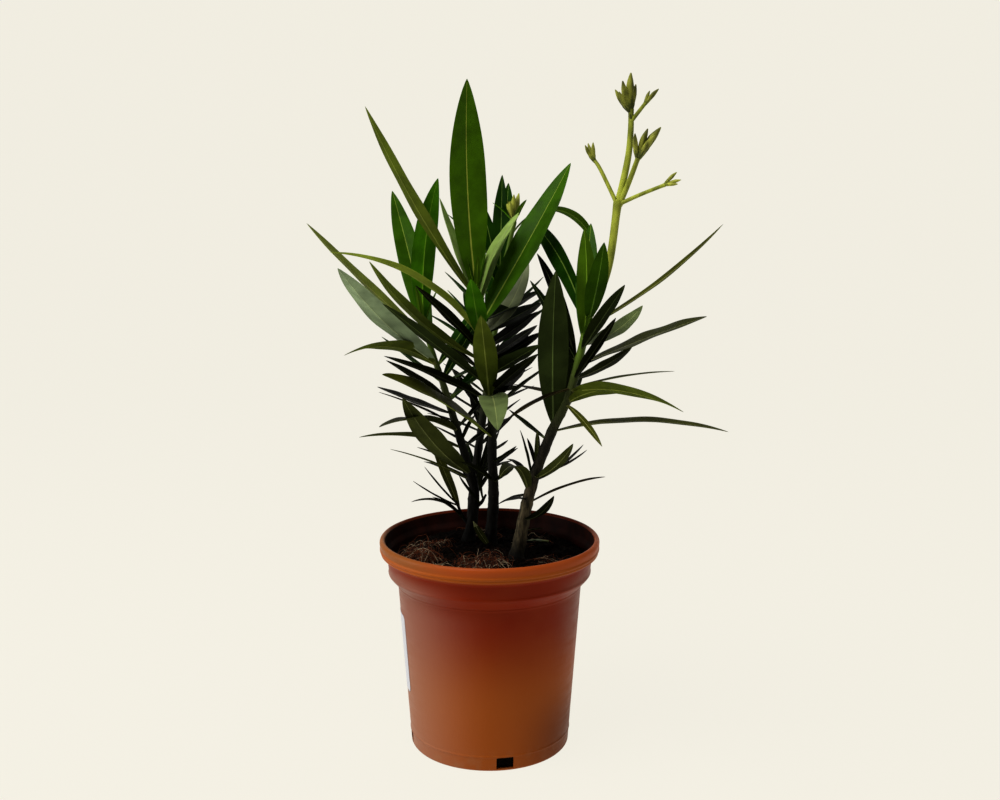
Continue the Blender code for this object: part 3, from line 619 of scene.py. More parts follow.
bark = stem_bark()
for number, stem in enumerate(ROUTES):
    trunk = piece("bark_" + stem, *bark_skin(stem, 10 * number + 3), [bark], crease=60)
    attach(trunk, "root")
    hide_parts("stem_" + stem)

# ----------------------------------------
# Leaves. Leathery lance-shaped blades with a pale midrib, dark and glossy above and duller below,
# each on a short stalk. They stand round the stems in whorls: a leaf is posed by its height, bearing,
# lean and droop, and the whorls are then completed at the back of the posed leaves by one rule.

LEAF_TONES = {  # the blade's upper face, its midrib, and its underside
    # this first tone is painted light: a brighter copy of the greens for leaves that face the light
    "sunny": ((64, 98, 2), (150, 158, 66), (84, 120, 24)),
    "bright": ((53, 88, 3), (126, 144, 56), (80, 138, 18)),
    "fresh": ((52, 88, 4), (128, 150, 56), (74, 105, 16)),
    "green": ((24, 56, 3), (100, 124, 50), (56, 90, 10)),
    "deep": ((18, 31, 6), (98, 112, 62), (46, 56, 24)),
    "olive": ((68, 72, 14), (126, 128, 70), (86, 98, 30)),
    "moss": ((44, 48, 14), (124, 126, 84), (66, 72, 32)),
    # this tone is painted shade: a near-black copy of the greens for leaves deep in the crown and low
    # down
    "sooty": ((8, 10, 3), (62, 68, 42), (24, 27, 11)),
    # the next two tones are painted sheen: the grey-green that a waxy leaf reflects at a glancing angle
    "silver": ((136, 142, 112), (158, 164, 122), (137, 153, 120)),
    "ashy": ((106, 120, 76), (142, 152, 98), (132, 148, 116)),
    "pale": ((146, 172, 94), (160, 176, 104), (128, 150, 84)),
    "straw": ((104, 114, 46), (144, 146, 76), (150, 166, 64)),
    "brown": ((32, 28, 13), (76, 70, 38), (44, 38, 18)),
}

# Each mass: its stem and place, the height it ends at, the length of the leaves that complete its
# whorls (0 for none) with their tone, and its posed leaves as (tone, height, bearing, lean, droop,
# length), some with a twist and a width. A bearing of 0 points to +X and 90 to the back. Lean is from
# upright at the leaf's root, and droop is added to it by the leaf's tip.
SHOOTS = (
    ("right_foot", 238.0, 0, "sooty", (
        ("sooty", 183, -69, 78, -34, 66, -13), ("brown", 195, 26, 68, 22, 70, -28, 10),
        ("sooty", 198, -117, 69, 19, 39, -15), ("moss", 202, -110, 23, 88, 79, -8),
        ("sooty", 202, 128, 105, 15, 43, -26), ("sooty", 209, 118, 45, 55, 43),
        ("sooty", 212, -158, 11, 7, 42), ("sooty", 213, 48, 89, -31, 64, -22),
        ("moss", 215, -65, 72, -28, 73, -21, 9), ("brown", 218, 35, 92, -32, 52, 0, 4),
        ("moss", 221, -59, 10, -18, 31), ("sooty", 221, 116, 25, 22, 27))),
    ("right_middle", 306.0, 62, "deep", (
        ("olive", 251, -11, 74, 28, 131, 4, 15), ("deep", 254, -106, 10, -23, 117, 7, 23),
        ("deep", 262, -118, -24, 37, 84), ("olive", 272, -65, 101, 20, 60, 31, 5),
        ("olive", 272, -39, 54, 53, 75, -40, 15), ("brown", 278, 135, 89, -2, 58),
        ("olive", 281, -54, 74, 29, 121, -33), ("brown", 284, -139, 95, 18, 65, 7),
        ("moss", 284, 10, 75, 15, 80, 0, 5), ("sooty", 290, -65, 50, -2, 80),
        ("moss", 290, 45, 84, -18, 70, 8), ("sooty", 298, 115, 23, 32, 106, -1, 14),
        ("moss", 300, -51, 67, 4, 134, 24, 25), ("deep", 301, 141, 31, 11, 75))),
    ("right_top", 337.5, 80, "green", (
        ("deep", 312, -65, 48, 2, 81), ("ashy", 316, 53, 91, -31, 89, 12),
        ("fresh", 318, 80, 19, 17, 96, 1), ("fresh", 320, -75, 12, -35, 82, 0, 15),
        ("olive", 329, 7, 64, -21, 126, 9, 9), ("green", 330, 115, 33, 39, 124, -72, 16),
        ("green", 333, -80, 47, -22, 75, 0, 15))),
    ("centre_foot", 256.0, 0, "sooty", (
        ("sooty", 204, -119, 54, 17, 58, 12), ("sooty", 204, -71, 65, 0, 51),
        ("sooty", 217, 57, 88, 6, 31), ("sooty", 222, -64, 71, -14, 46),
        ("brown", 231, 60, 88, -13, 25), ("olive", 242, -125, 56, 14, 144, -29, 29))),
    ("centre_middle", 312.0, 80, "sooty", (
        ("sooty", 270, -132, 61, 11, 118, 13), ("sooty", 270, 66, 72, 8, 70, 0, 17),
        ("olive", 273, -94, 46, 2, 105), ("ashy", 273, -86, 69, 50, 93, 7, 21),
        ("sooty", 277, -60, 60, 2, 80, -9, 17), ("deep", 283, -139, 54, 1, 118, 6),
        ("sooty", 283, 67, 111, -24, 68, -27, 17), ("deep", 289, -59, 64, 3, 81, -12, 17),
        ("sooty", 298, 55, 81, -7, 80, 12, 17), ("olive", 301, -159, 64, -31, 118, 19, 17),
        ("sooty", 301, 61, 80, -4, 89, 0, 17), ("sooty", 308, -128, 51, 5, 93, 7),
        ("sooty", 310, 56, 78, -7, 81, 10, 17))),
    ("centre_top", 352.0, 95, "green", (
        ("straw", 318, -160, 34, 51, 136, 12, 17), ("bright", 318, -98, 46, -5, 67, 0, 15),
        ("deep", 321, 53, 78, -1, 82, 11, 17), ("silver", 321, 56, 79, -57, 88, 0, 19),
        ("bright", 327, 30, 35, -3, 145, 21, 26), ("deep", 330, 52, 79, -5, 80, 0, 17),
        ("pale", 338, 50, 17, 33, 88, -9), ("pale", 342, 30, 7, 43, 79),
        ("pale", 344, 157, 24, -5, 84), ("olive", 347, -155, 38, -13, 164, 10, 19),
        ("sunny", 350, 114, 18, -24, 161, -5, 29))),
    ("left_foot", 262.0, 62, "sooty", (
        ("moss", 202, -167, 59, 15, 71, 21, 4), ("moss", 207, -124, 61, -24, 113, 15, 23),
        ("moss", 229, -158, 65, 29, 86, 21), ("sooty", 234, -57, 28, 23, 34),
        ("moss", 243, -125, 60, 37, 97, 9, 19), ("brown", 249, -135, 61, 9, 84, 0, 7),
        ("sooty", 258, -128, 71, -4, 89, -27, 17))),
    ("left_top", 327.0, 88, "green", (
        ("sooty", 269, -125, 58, 7, 83, 8), ("olive", 296, -131, 54, 50, 99, 23, 20),
        ("silver", 299, -123, 64, -18, 137, 4, 27), ("bright", 310, 109, 40, 8, 161, -5, 20),
        ("straw", 318, 170, 53, -11, 126, -6, 17), ("bright", 326, -56, -7, 37, 115, -10))),
    ("back_foot", 286.0, 62, "sooty", (
        ("sooty", 196, -47, 40, -33, 42), ("sooty", 204, 38, 49, -19, 39))),
    ("back_top", 403.0, 84, "green", (
        ("green", 341, 57, 3, -1, 98), ("fresh", 393, 35, 38, 129, 110, -25, 10))),
)

# Short side sprigs: stem and place, height, bearing, lean and length of the twig, then its leaves,
# whose first number is how far along the twig they stand.
SPRIGS = (
    ("left_inner", 182.0, -30, 30, 10, (
        ("sooty", 0.1, -133, 50, -16, 37), ("sooty", 0.5, -144, 27, -28, 48))),
    ("left_outer", 167.0, 180, 22, 18, (
        ("sooty", 0.12, -131, 42, 26, 44, 12), ("brown", 0.2, -168, 34, 73, 47, -12, 5),
        ("olive", 0.5, 141, 28, 4, 64), ("brown", 0.8, -137, 65, -12, 53, 0, 4),
        ("sooty", 0.9, -145, 47, -11, 45, 0, 5))),
    ("back", 176.0, 80, 50, 14, (
        ("sooty", 0.3, 60, 50, 20, 36), ("sooty", 0.5, 115, 48, 10, 38), ("sooty", 0.8, 60, 40, 10, 50),
        ("deep", 0.95, 110, 30, 5, 42))),
)
SPRIG_RADII = np.array((1.5, 1.0))  # at a twig's foot and at its tip
GAP = 0.3  # between a limb, a mass or a twig and what it stands on

# The youngest leaves at each head: stem, then (tone, height, bearing, lean, droop, length).
HEADS = (
    ("right", (("sunny", 316, -48, 20, -8, 27), ("bright", 338, -60, 14, 10, 34),
               ("fresh", 338, 60, 20, 8, 30),
               ("fresh", 338.5, 180, 16, -6, 38), ("bright", 333, -20, 24, 6, 26))),
    ("centre", (("fresh", 352, -80, 16, 6, 30), ("bright", 352, 40, 12, 10, 34),
                ("fresh", 352.5, 165, 14, 4, 26))),
    ("left", (("fresh", 327, -120, 14, 8, 32), ("bright", 327, 20, 20, 6, 30),
              ("fresh", 327.5, 140, 12, 4, 26))),
    ("back", (("fresh", 402, -60, 30, 30, 26), ("bright", 402, 160, 40, 20, 24))),
)

# Flower stalk: its branches as (points, start radius, end radius), and its buds as (foot, tips).
STALKS = (
    (((73.6, -20.0, 337.9), (79.5, -18, 350), (88, -14, 376), (94, -8, 420)), 2.7, 2.9),
    (((94, -8, 417), (101, -5, 450), (103, -3, 471), (103, -2, 486)), 2.6, 1.9),
    (((95, -8, 417), (102, -11, 435), (107.5, -14, 451)), 2.1, 1.7),
    (((93.5, -7, 418), (82, 0, 442), (77, 3, 450)), 1.5, 1.3),
    (((95, -9, 418), (110, -13, 425), (127, -18, 432)), 1.5, 1.3),
    (((103, -3, 477), (113, -6, 490)), 1.5, 1.3),
)
BUDS = (
    ((103, -2, 483), ((102.6, -2, 512), (96.3, -5, 506), (106.9, 3, 504), (91.3, -1, 500),
                      (93.5, -9, 498))),
    ((112, -5.8, 488), ((116.3, -4, 499), (122.2, -9, 500))),
    ((77.5, 2.6, 448), ((70.2, 2, 460.5), (72.8, 8, 462), (76, 0, 462.5))),
    ((126, -17.7, 431.5), ((135.6, -16, 441), (138, -22, 435.5), (135.2, -26, 432.5))),
    ((107.2, -13.8, 449.5), ((104.7, -17, 468.5), (114.3, -14, 472), (118.7, -20, 467),
                             (124, -12, 473))),
)
TIPPED_BUDS = [(foot, tip) for foot, tips in BUDS for tip in tips]
ROUGH_BUD = ((0.0, 0.072), (0.3, 0.104), (0.62, 0.13), (0.85, 0.081), (1.0, 0.0013))  # along and out

LEAF_STATIONS = (0.0, 0.09, 0.25, 0.45, 0.66, 0.86)
LEAF_STEPS = 24
LEAF_WIDTH = 0.165  # of its length
LEAF_FULLNESS = 0.85
LEAF_FOLD = 0.10  # how far its edges stand above the midrib, of the width
LEAF_THICKNESS = 0.012  # of its length
THINNEST_LEAF = 1.0
TIP_THINNING = 0.3
STALK_WIDTH = 2.0
STALK_END = 0.05  # of its length

WHORL_PITCH = 14.0
WHORL_LEAVES = 3
WHORL_HEADROOM = 4.0
FILL_BEARINGS = (15.0, 165.0)
FILL_FIRST_BEARINGS = (40.0, 140.0)
FILL_APART = 40.0
FILL_LEANS = (72.0, 34.0)  # at the foot and at the head of the crown
FILL_DROOP = 6.0
FILL_SIDE_LENGTH = 0.62  # of the length of one that points to the back
FILL_VARIES = (8.0, 6.0, 0.1, 2.0)  # bearing, lean, length as a share, height
FILL_VARIES_DROOP = 10.0
CROWN_HEIGHTS = (200.0, 350.0)
FILL_TOP = 372.0
FILL_SEED = 11

# A leaf that would touch another mass is swung by the first of these (bearing, lean) that clears it.
CLEARANCE = 0.35
NUDGES = ((0, 0), (4, 0), (-4, 0), (0, 4), (0, -4), (8, 0), (-8, 0), (0, 8), (0, -8), (12, 4),
          (-12, 4), (12, -4), (-12, -4), (18, 0), (-18, 0))

LIMB_TOPS = {"right": 176.0, "centre": 197.0, "left": 195.0, "back": 188.0}
STEM_SIDES = 8
STEM_STEP = 9.0
TWIG_SIDES = 6


def direction(bearing, lean):
    """A unit vector, or several, from a bearing round Z and a lean from upright."""
    lean = np.radians(lean)
    flat = around(np.radians(bearing), np.sin(lean))
    return np.concatenate([flat, np.cos(lean)[..., None]], axis=-1)


def leaf_line(root, bearing, lean, droop, length, twist, at):
    """Points on a leaf's centre line at these shares of its length, and the ways to its side and up
    from its face there. The line is short straight steps whose lean grows evenly by the droop."""
    steps = (np.arange(LEAF_STEPS) + 0.5) / LEAF_STEPS
    path = np.vstack([root, root + np.cumsum(direction(bearing, lean + droop * steps), axis=0)
                      * length / LEAF_STEPS])
    ends = np.arange(LEAF_STEPS + 1) / LEAF_STEPS
    points = np.stack([np.interp(at, ends, path[:, axis]) for axis in range(3)], axis=1)
    normals = -direction(bearing, lean + droop * at + 90.0)
    level = direction(bearing + 90.0, 90.0)
    turn = math.radians(twist)
    return (points, math.cos(turn) * level + math.sin(turn) * normals,
            math.cos(turn) * normals - math.sin(turn) * level)


def rough_leaf(proud, root, bearing, lean, droop, length, twist=0.0, width=0.0):
    """The plain leaf that the rule keeps clear of other masses: four-sided rings and a tip, standing
    proud all round by this much."""
    at = np.array(LEAF_STATIONS)[:, None]
    points, side, up = leaf_line(root, bearing, lean, droop, length, twist, np.append(at, 1.0))
    middle, side, up = points[:-1], side[:-1], up[:-1]
    across = np.maximum(STALK_WIDTH, (4.0 * at * (1.0 - at)) ** LEAF_FULLNESS
                        * (width or LEAF_WIDTH * length))
    half = (0.5 * across + proud) * side
    rise = LEAF_FOLD * across * (at > STALK_END) * up
    depth = (0.5 * max(THINNEST_LEAF, LEAF_THICKNESS * length) * (1.0 - TIP_THINNING * at) + proud) * up
    rings = np.stack([middle - half + rise, middle + depth, middle + half + rise, middle - depth], 1)
    tip = points[-1] + proud * direction(bearing, lean + droop)
    points = np.vstack([rings.reshape(-1, 3), tip])
    return BVHTree.FromPolygons(points.tolist(), skin(len(at), 4, "cap", "point"))


def rough_tube(path, radii, sides=TWIG_SIDES, ahead=None):
    """The plain limb, twig or bud that leaves keep clear of."""
    points, faces = tubes(path[None], radii[None], sides, ahead=ahead)
    return BVHTree.FromPolygons(points.tolist(), faces)


def rough_limb(stem, low, high):
    """The plain limb round a stem between two heights, its rings level."""
    heights = np.linspace(low, high, max(2, round((high - low) / STEM_STEP) + 1))
    return rough_tube(stem_point(stem, heights), stem_radius(stem, heights), STEM_SIDES, (0, 0, 1))


def sprig_twig(name, height, bearing, lean, length):
    """Start and end of a sprig's twig, its start clear of the stem's side."""
    stem = name.split("_")[0]
    out = direction(bearing, 90.0)
    start = stem_point(stem, height) + (stem_radius(stem, height) + GAP + SPRIG_RADII[0]) * out
    return start, start + length * direction(bearing, lean)


def fit(taken, owner, leaf):
    """The leaf, swung as little as clears the other masses, or None where nothing does. taken holds
    what each mass already fills, and gains the leaf."""
    root, bearing, lean, *shape = leaf
    for turn, tilt in NUDGES:
        swung = (root, bearing + turn, lean + tilt, *shape)
        tree = rough_leaf(CLEARANCE, *swung)
        if not any(tree.overlap(other) for name, other in taken if name != owner):
            taken.append((owner, rough_leaf(0.0, *swung)))
            return swung
    return None


def widest_gap(bearings):
    """The bearing in the middle of the widest gap between these."""
    in_turn = sorted(bearing % 360.0 for bearing in bearings)
    gap, before = max((after - before, before) for before, after in
                      zip(in_turn, in_turn[1:] + [in_turn[0] + 360.0]))
    return before + 0.5 * gap


def whorl_fill(low, high, length, posed, rng):
    """The leaves that complete the whorls between two heights, at the back of the posed ones."""
    made = []
    if not length:
        return made
    for height in np.arange(low + 0.5 * WHORL_PITCH, high - WHORL_HEADROOM, WHORL_PITCH):
        bearings = [leaf[2] for leaf in posed if abs(leaf[1] - height) <= 0.5 * WHORL_PITCH]
        first = rng.uniform(*FILL_FIRST_BEARINGS)
        for _ in range(WHORL_LEAVES - len(bearings)):
            middle = widest_gap(bearings) if bearings else first
            bearing = float(np.clip((middle + 90.0) % 360.0 - 90.0, *FILL_BEARINGS))
            near = min([abs((bearing - other + 180.0) % 360.0 - 180.0) for other in bearings] + [360.0])
            bearings.append(bearing)
            change = rng.uniform(-1.0, 1.0, 4)
            if near < FILL_APART:
                continue
            turn, tilt, stretch, rise = change * FILL_VARIES
            back = math.sin(math.radians(bearing))
            reach = length * (FILL_SIDE_LENGTH + (1.0 - FILL_SIDE_LENGTH) * back) * (1.0 + stretch)
            lean = np.interp(height, CROWN_HEIGHTS, FILL_LEANS) + tilt
            droop = FILL_DROOP + FILL_VARIES_DROOP * change[2]
            made.append((height + rise, bearing + turn, lean, droop, reach))
    return made


def grown_leaves():
    """Every mass's leaves as (tone, leaf), fitted clear of each other: posed leaves first, then the
    leaves that complete the whorls."""
    rng = np.random.default_rng(FILL_SEED)
    taken = [("limb", rough_limb(stem, STEM_FOOT + GAP, top)) for stem, top in LIMB_TOPS.items()]
    for points, *radii in STALKS:
        path = smooth_route(points, steps=3)
        taken.append(("flower_stalk", rough_tube(path, np.linspace(*radii, len(path)))))
    share, out = np.transpose(ROUGH_BUD)
    for foot, tip in TIPPED_BUDS:
        reach = np.subtract(tip, foot)
        taken.append(("flower_stalk", rough_tube(foot + share[:, None] * reach,
                                                 out * np.linalg.norm(reach))))
    wanted = {}
    lows = dict(LIMB_TOPS)
    for name, high, length, tone, posed in SHOOTS:
        stem = name.split("_")[0]
        low = lows[stem] + GAP
        lows[stem] = high
        taken.append((name, rough_limb(stem, low, high)))
        fill = whorl_fill(low, min(high, FILL_TOP), length, posed, rng)
        wanted[name] = ([(leaf[0], (stem_point(stem, leaf[1]), *leaf[2:])) for leaf in posed],
                        [(tone, (stem_point(stem, leaf[0]), *leaf[1:])) for leaf in fill])
    for name, *twig, posed in SPRIGS:
        start, end = sprig_twig(name, *twig)
        taken.append((name, rough_tube(np.array([start, end]), SPRIG_RADII)))
        wanted[name] = ([(leaf[0], (start + leaf[1] * (end - start), *leaf[2:])) for leaf in posed], [])
    fitted = {name: [] for name in wanted}
    for part in range(2):
        for name, leaves in wanted.items():
            found = [(tone, fit(taken, name, leaf)) for tone, leaf in leaves[part]]
            fitted[name] += [(tone, leaf) for tone, leaf in found if leaf]
    return fitted


LEAF_RINGS = 34
LEAF_FOOT = 0.08  # the share of its length that has the first five rings
LEAF_TIP_START = 0.985
RIB_HALF = 0.75  # at the stalk; it thins to nothing at the tip
ACROSS = (0.0, 0.16, 0.38, 0.62, 0.83, 0.95, 1.0)  # between the midrib's edge and the margin
BLADE_THICKNESS = 0.42
MARGIN_THICKNESS = 0.24
KEEL = 0.75  # how far the midrib stands out below
GROOVE = 0.3
MARGIN_ROLL = 0.045  # of the half width
WAVE = 0.045
STALK_THICKNESS = 1.7
STALK_FADE = 5.0
VEIN_PITCH = 1.5
NARROWED_TONES = {"sooty": 0.74, "brown": 0.85}  # leaves in these tones are drawn narrower across
leaf_rng = np.random.default_rng(23)


def leaf_skin(root, bearing, lean, droop, length, twist=0.0, width=0.0, slim=1.0):
    """A leaf's points and faces, which faces are its blade, midrib, underside or keel (0 to 3), and
    each point's place along and across the blade.

    Along the leaf the half width is a lance shape, or the stalk's where that is wider. Across it the
    upper face is a shallow fold whose margins roll under, with a groove along the midrib. The lower
    face lies a blade's thickness below it, with a keel under the midrib. The margins wave a little,
    and near the root the section fills out to the round stalk.
    """
    share = np.concatenate([np.linspace(0.0, LEAF_FOOT, 6)[:-1],
                            np.linspace(LEAF_FOOT, LEAF_TIP_START, LEAF_RINGS - 5)])[:, None]
    points, side, up = leaf_line(root, bearing, lean, droop, length, twist, np.append(share, 1.0))
    blade = (0.5 * (4.0 * share * (1.0 - share)) ** LEAF_FULLNESS
             * (width or LEAF_WIDTH * length) * slim)
    stalk = 0.5 * min(STALK_WIDTH, 0.035 * length) * np.clip((1.0 - share) * 6.0, 0.0, 1.0)
    half = (blade**4 + stalk**4) ** 0.25
    rib = np.clip(RIB_HALF * min(1.0, length / 90.0) * (1.0 - 0.85 * share) / half, 0.02, 0.55)
    out = rib + (1.0 - rib) * np.array(ACROSS)
    over = np.hstack([out[:, ::-1], np.zeros_like(rib), -out])  # left margin to right
    amount = np.abs(over)
    stalky = np.exp(-share * length / STALK_FADE)
    waves = leaf_rng.uniform(1.6, 3.2, 2) * math.tau
    ripples = np.sin(waves * share + leaf_rng.uniform(0, math.tau, 2)) * np.sin(math.pi * share) ** 0.5
    wave = WAVE * np.where(over > 0, ripples[:, :1], ripples[:, 1:]) * amount**2
    fold = (2.0 * LEAF_FOLD + leaf_rng.uniform(-0.05, 0.07)) * amount**1.3
    height = half * (fold + wave - MARGIN_ROLL * amount**8) * (1 - stalky)
    thick = (BLADE_THICKNESS + (MARGIN_THICKNESS - BLADE_THICKNESS) * amount**2) * (1.0 - 0.4 * share)
    round_stalk = STALK_THICKNESS * np.sqrt(1.0 - (0.97 * over) ** 2)
    thick = thick * (1 - stalky) + round_stalk * stalky
    ridge = np.exp(-((over / rib) ** 2)) * (1.0 - share) ** 0.7 * (1 - stalky)
    top = height + 0.5 * thick - GROOVE * ridge
    low = height - 0.5 * thick - KEEL * ridge
    lift = np.hstack([top, low[:, ::-1]])
    reach = half * np.hstack([over, over[:, ::-1]])
    place = points[:-1, None] + reach[..., None] * side[:-1, None] + lift[..., None] * up[:-1, None]
    rows, sides = lift.shape
    column = np.arange(sides)
    under = 2 * (column >= sides // 2)
    ribbed = np.isin(column % (sides // 2), (sides // 4 - 1, sides // 4))
    kinds = np.where(share[:-1] * length < STALK_FADE, 1, under + ribbed)
    chart = np.stack(np.broadcast_arrays(share * length, reach), axis=-1).reshape(-1, 2)
    return (np.vstack([place.reshape(-1, 3), points[-1]]), skin(rows, sides, "cap", "point"),
            np.concatenate([kinds.ravel(), under, [1]]), np.vstack([chart, (length, 0.0)]) * MM)


def leaf_finish(name, tone, face):
    """One face of the leaves in one tone: 'above' is glossy, 'below' is dull, 'rib' is smooth.

    The tone is clouded by age, and the blade's fine side veins, which leave the midrib at a steep
    slant, stand up as a bump that follows each blade's own chart.
    """
    gloss, specular = {"above": (0.44, 0.07), "below": (0.7, 0.02), "rib": (0.5, 0.08)}[face]
    if max(tone[:3]) < 0.04:  # the darkest tones, the painted shade among them, shine less
        specular *= 0.3
    made, shader, start = finish(name, gloss, specular)
    dark, light = ((*np.minimum(np.multiply(tone[:3], gain), 1.0), 1.0) for gain in (0.78, 1.22))
    cloud = start.noise(16, 3).within(0.3, 0.7)
    feed(shader, "Base Color", cloud.mix(dark, light))
    if face == "rib":
        emboss(shader, start.noise(2.5, 2), 0.1)
        return made
    along, across = (start.along(axis, "skin") for axis in "XY")
    slant = along - across.maths("ABSOLUTE", across) * 0.6
    veins = slant.maths("SINE", slant * (math.tau / VEIN_PITCH))
    feed(shader, "Roughness", cloud * 0.12 + (gloss - 0.06))
    emboss(shader, veins * 0.5 + start.noise(1.2, 2), 0.07)
    return made


leaf_finishes = {}
for tone, (above, rib, below) in LEAF_TONES.items():
    leaf_finishes[tone] = (leaf_finish(f"leaf_{tone}", colour(*above), "above"),
                           leaf_finish(f"midrib_{tone}", colour(*rib), "rib"),
                           leaf_finish(f"underleaf_{tone}", colour(*below), "below"),
                           leaf_finish(f"keel_{tone}", colour(*np.add(below, rib) * 0.62), "rib"))


def joined(name, parts, finishes, crease):
    """One piece of many skins, each given by its points, its faces, the numbers of their finishes
    and, where its piece has a chart, each point's place on it."""
    firsts = np.cumsum([0] + [len(part[0]) for part in parts])
    faces = [[index + int(first) for index in face]
             for first, part in zip(firsts, parts) for face in part[1]]
    slots = np.concatenate([np.broadcast_to(part[2], len(part[1])) for part in parts])
    chart = np.vstack([part[3] for part in parts]) if len(parts[0]) > 3 else None
    return piece(name, np.vstack([part[0] for part in parts]), faces, finishes, slots, chart, crease)


def leaves_piece(name, leaves, twigs=()):
    """One piece of all the leaves of a mass, each in its own tone, and of any bare twigs."""
    tones = sorted({tone for tone, _ in leaves})
    finishes = [made for tone in tones for made in leaf_finishes[tone]]
    parts = []
    for tone, leaf in leaves:
        points, faces, kinds, chart = leaf_skin(*leaf, slim=NARROWED_TONES.get(tone, 1.0))
        parts.append((points, faces, kinds + 4 * tones.index(tone), chart))
    for points, faces in twigs:
        parts.append((points, faces, len(finishes), np.zeros((len(points), 2))))
    return joined(name, parts, finishes + [bark] * bool(twigs), crease=50)


grown = grown_leaves()
for stem, young in HEADS:
    grown[stem + "_top"] += [(tone, (stem_point(stem, height), *pose)) for tone, height, *pose in young]
for name, *_ in SHOOTS:
    leaves = leaves_piece("leaves_" + name, grown[name])
    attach(leaves, "root")
    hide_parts("foliage_" + name)

# ----------------------------------------
# Sprigs. Thin side twigs low on the stems, pressed close to the bark, each with a few small leaves.

TWIG_SHARES = np.linspace(-0.12, 1.0, 14)  # of its length: it starts inside the bark
TWIG_BEND = 0.4  # the share of it that curves out of the stem
TWIG_DROP = 3.0  # how far below it leaves the stem
TWIG_FATTER = (1.15, 0.8)  # than the plain twig, at its foot and its tip
TWIG_SKIN_SIDES = 12

for name, height, *pose, _ in SPRIGS:
    start, end = sprig_twig(name, height, *pose)
    share = TWIG_SHARES[:, None]
    bend = 0.5 * np.clip(1.0 - share / TWIG_BEND, 0.0, 1.0) ** 2
    foot = stem_point(name.split("_")[0], height - TWIG_DROP)
    path = (start + share * (end - start)) * (1 - bend) + foot * bend
    radii = np.linspace(*SPRIG_RADII * TWIG_FATTER, len(share))
    twig = tubes(path[None], radii[None], TWIG_SKIN_SIDES)
    sprig = leaves_piece(f"sprig_{name}_leaves", grown[name], [twig])
    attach(sprig, "root")
    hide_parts("sprig_" + name)

# ----------------------------------------
# Fallen leaves. A few small grey-green leaves, shed and lying on the mix between the stems; the grey of
# the first is painted sheen.

FALLEN = (  # tone, root, bearing, lean, droop, length, twist and width
    ("ashy", (46.0, 9.0, 157.5), 172, 84, 12, 17, 12, 9.0),
    ("moss", (-13.0, 28.0, 168.0), -58, 130, -20, 29, 20, 5.5),
    ("moss", (24.0, 40.0, 155.5), 35, 84, 12, 24, -15, 5.0))
fallen_leaves = leaves_piece("fallen_leaves", [(tone, leaf) for tone, *leaf in FALLEN])
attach(fallen_leaves, "root")

# ----------------------------------------
# Flower stalk. A fleshy yellow-green stalk that forks under clusters of closed buds, and a small
# bunch of young buds at the head of the back stem.

STALK_SIDES = 20
STALK_RIBS = 5
STALK_RIB = 0.035  # of its radius
BUD_SIDES = 20
BUD_RINGS = 22
BUD_RADIUS = 0.095  # of its length, at its fullest
BUD_TWIST = 2.0
BUD_SWAY = 0.03  # of its length
PETALS = 5
PETAL_RIDGE = 0.09
CUP_HEIGHT = 0.3  # of the bud's length
CUP_POINTS = 0.09
CUP_STANDS = 0.16  # of the bud's radius
BACK_BUD_FOOT = (19.4, 52.0, 402.5)
BACK_BUD_TIPS = ((18.8, 50, 424), (22.8, 55, 425), (15.7, 46, 419), (13, 58, 420))
BUD_PROFILE = ((-0.01, 0.42), (0.1, 0.62), (0.3, 0.84), (0.5, 0.98), (0.66, 0.98), (0.8, 0.74),
               (0.92, 0.4), (1.0, 0.1))  # share of its length, and of its fullest radius


def stalk_skin(points, start_radius, end_radius):
    """A tapering tube along a smooth curve, swollen at both ends and slightly ribbed."""
    path = smooth_route(points, steps=12)
    share = np.linspace(0, 1, len(path))
    turns = np.arange(STALK_SIDES) * math.tau / STALK_SIDES
    taper = start_radius + (end_radius - start_radius) * share
    joint = 1 + 0.16 * np.exp(-((share / 0.06) ** 2)) + 0.14 * np.exp(-(((1 - share) / 0.05) ** 2))
    ribs = 1 + STALK_RIB * np.cos(STALK_RIBS * turns)
    return tubes(path[None], ((taper * joint)[:, None] * ribs)[None], STALK_SIDES)


def bud_skin(foot, tip, turn):
    """A closed bud: a spindle whose five overlapping petals show as low spiral ridges, in a short cup
    of five sepals at its foot. Returns points, faces, and 1 for the faces of the cup."""
    start, end = np.array(foot, float), np.array(tip, float)
    length = np.linalg.norm(end - start)
    share = np.linspace(0.0, 0.985, BUD_RINGS)[:, None]
    swell = np.interp(share, *np.transpose(BUD_PROFILE))
    turns = np.arange(BUD_SIDES) * math.tau / BUD_SIDES
    angle = turns + BUD_TWIST * share + turn
    arch = np.sin(math.pi * share)
    petals = 1 + PETAL_RIDGE * np.abs(np.cos(PETALS / 2 * angle)) * arch
    edge = CUP_HEIGHT + CUP_POINTS * np.cos(PETALS * turns + turn)
    cup = 1 + CUP_STANDS / (1 + np.exp((share - edge) / 0.012))
    radii = BUD_RADIUS * length * swell * petals * cup
    sway = np.cross((end - start) / length, (0.3, 0.8, 0.5))
    path = start + share * (end - start) + sway * BUD_SWAY * length * arch
    points, faces = tubes(path[None], radii[None], BUD_SIDES)
    in_cup = share[:-1] < edge
    return points, faces, np.concatenate([in_cup.ravel(), (1, 0)]).astype(int)


def stalk_green(name, light, dark):
    """Young juicy skin: yellow-green, flushed darker in long patches and near the top."""
    made, shader, start = finish(name, 0.55, 0.25)
    flush = (start.noise(5, 1, (1, 1, 3)).within(0.32, 0.72) * 0.66
             + start.along("Z").within(436, 476) * 0.3)
    feed(shader, "Base Color", flush.mix(light, dark))
    emboss(shader, start.noise(2.0, 1, (1, 1, 5)), 0.05)
    return made


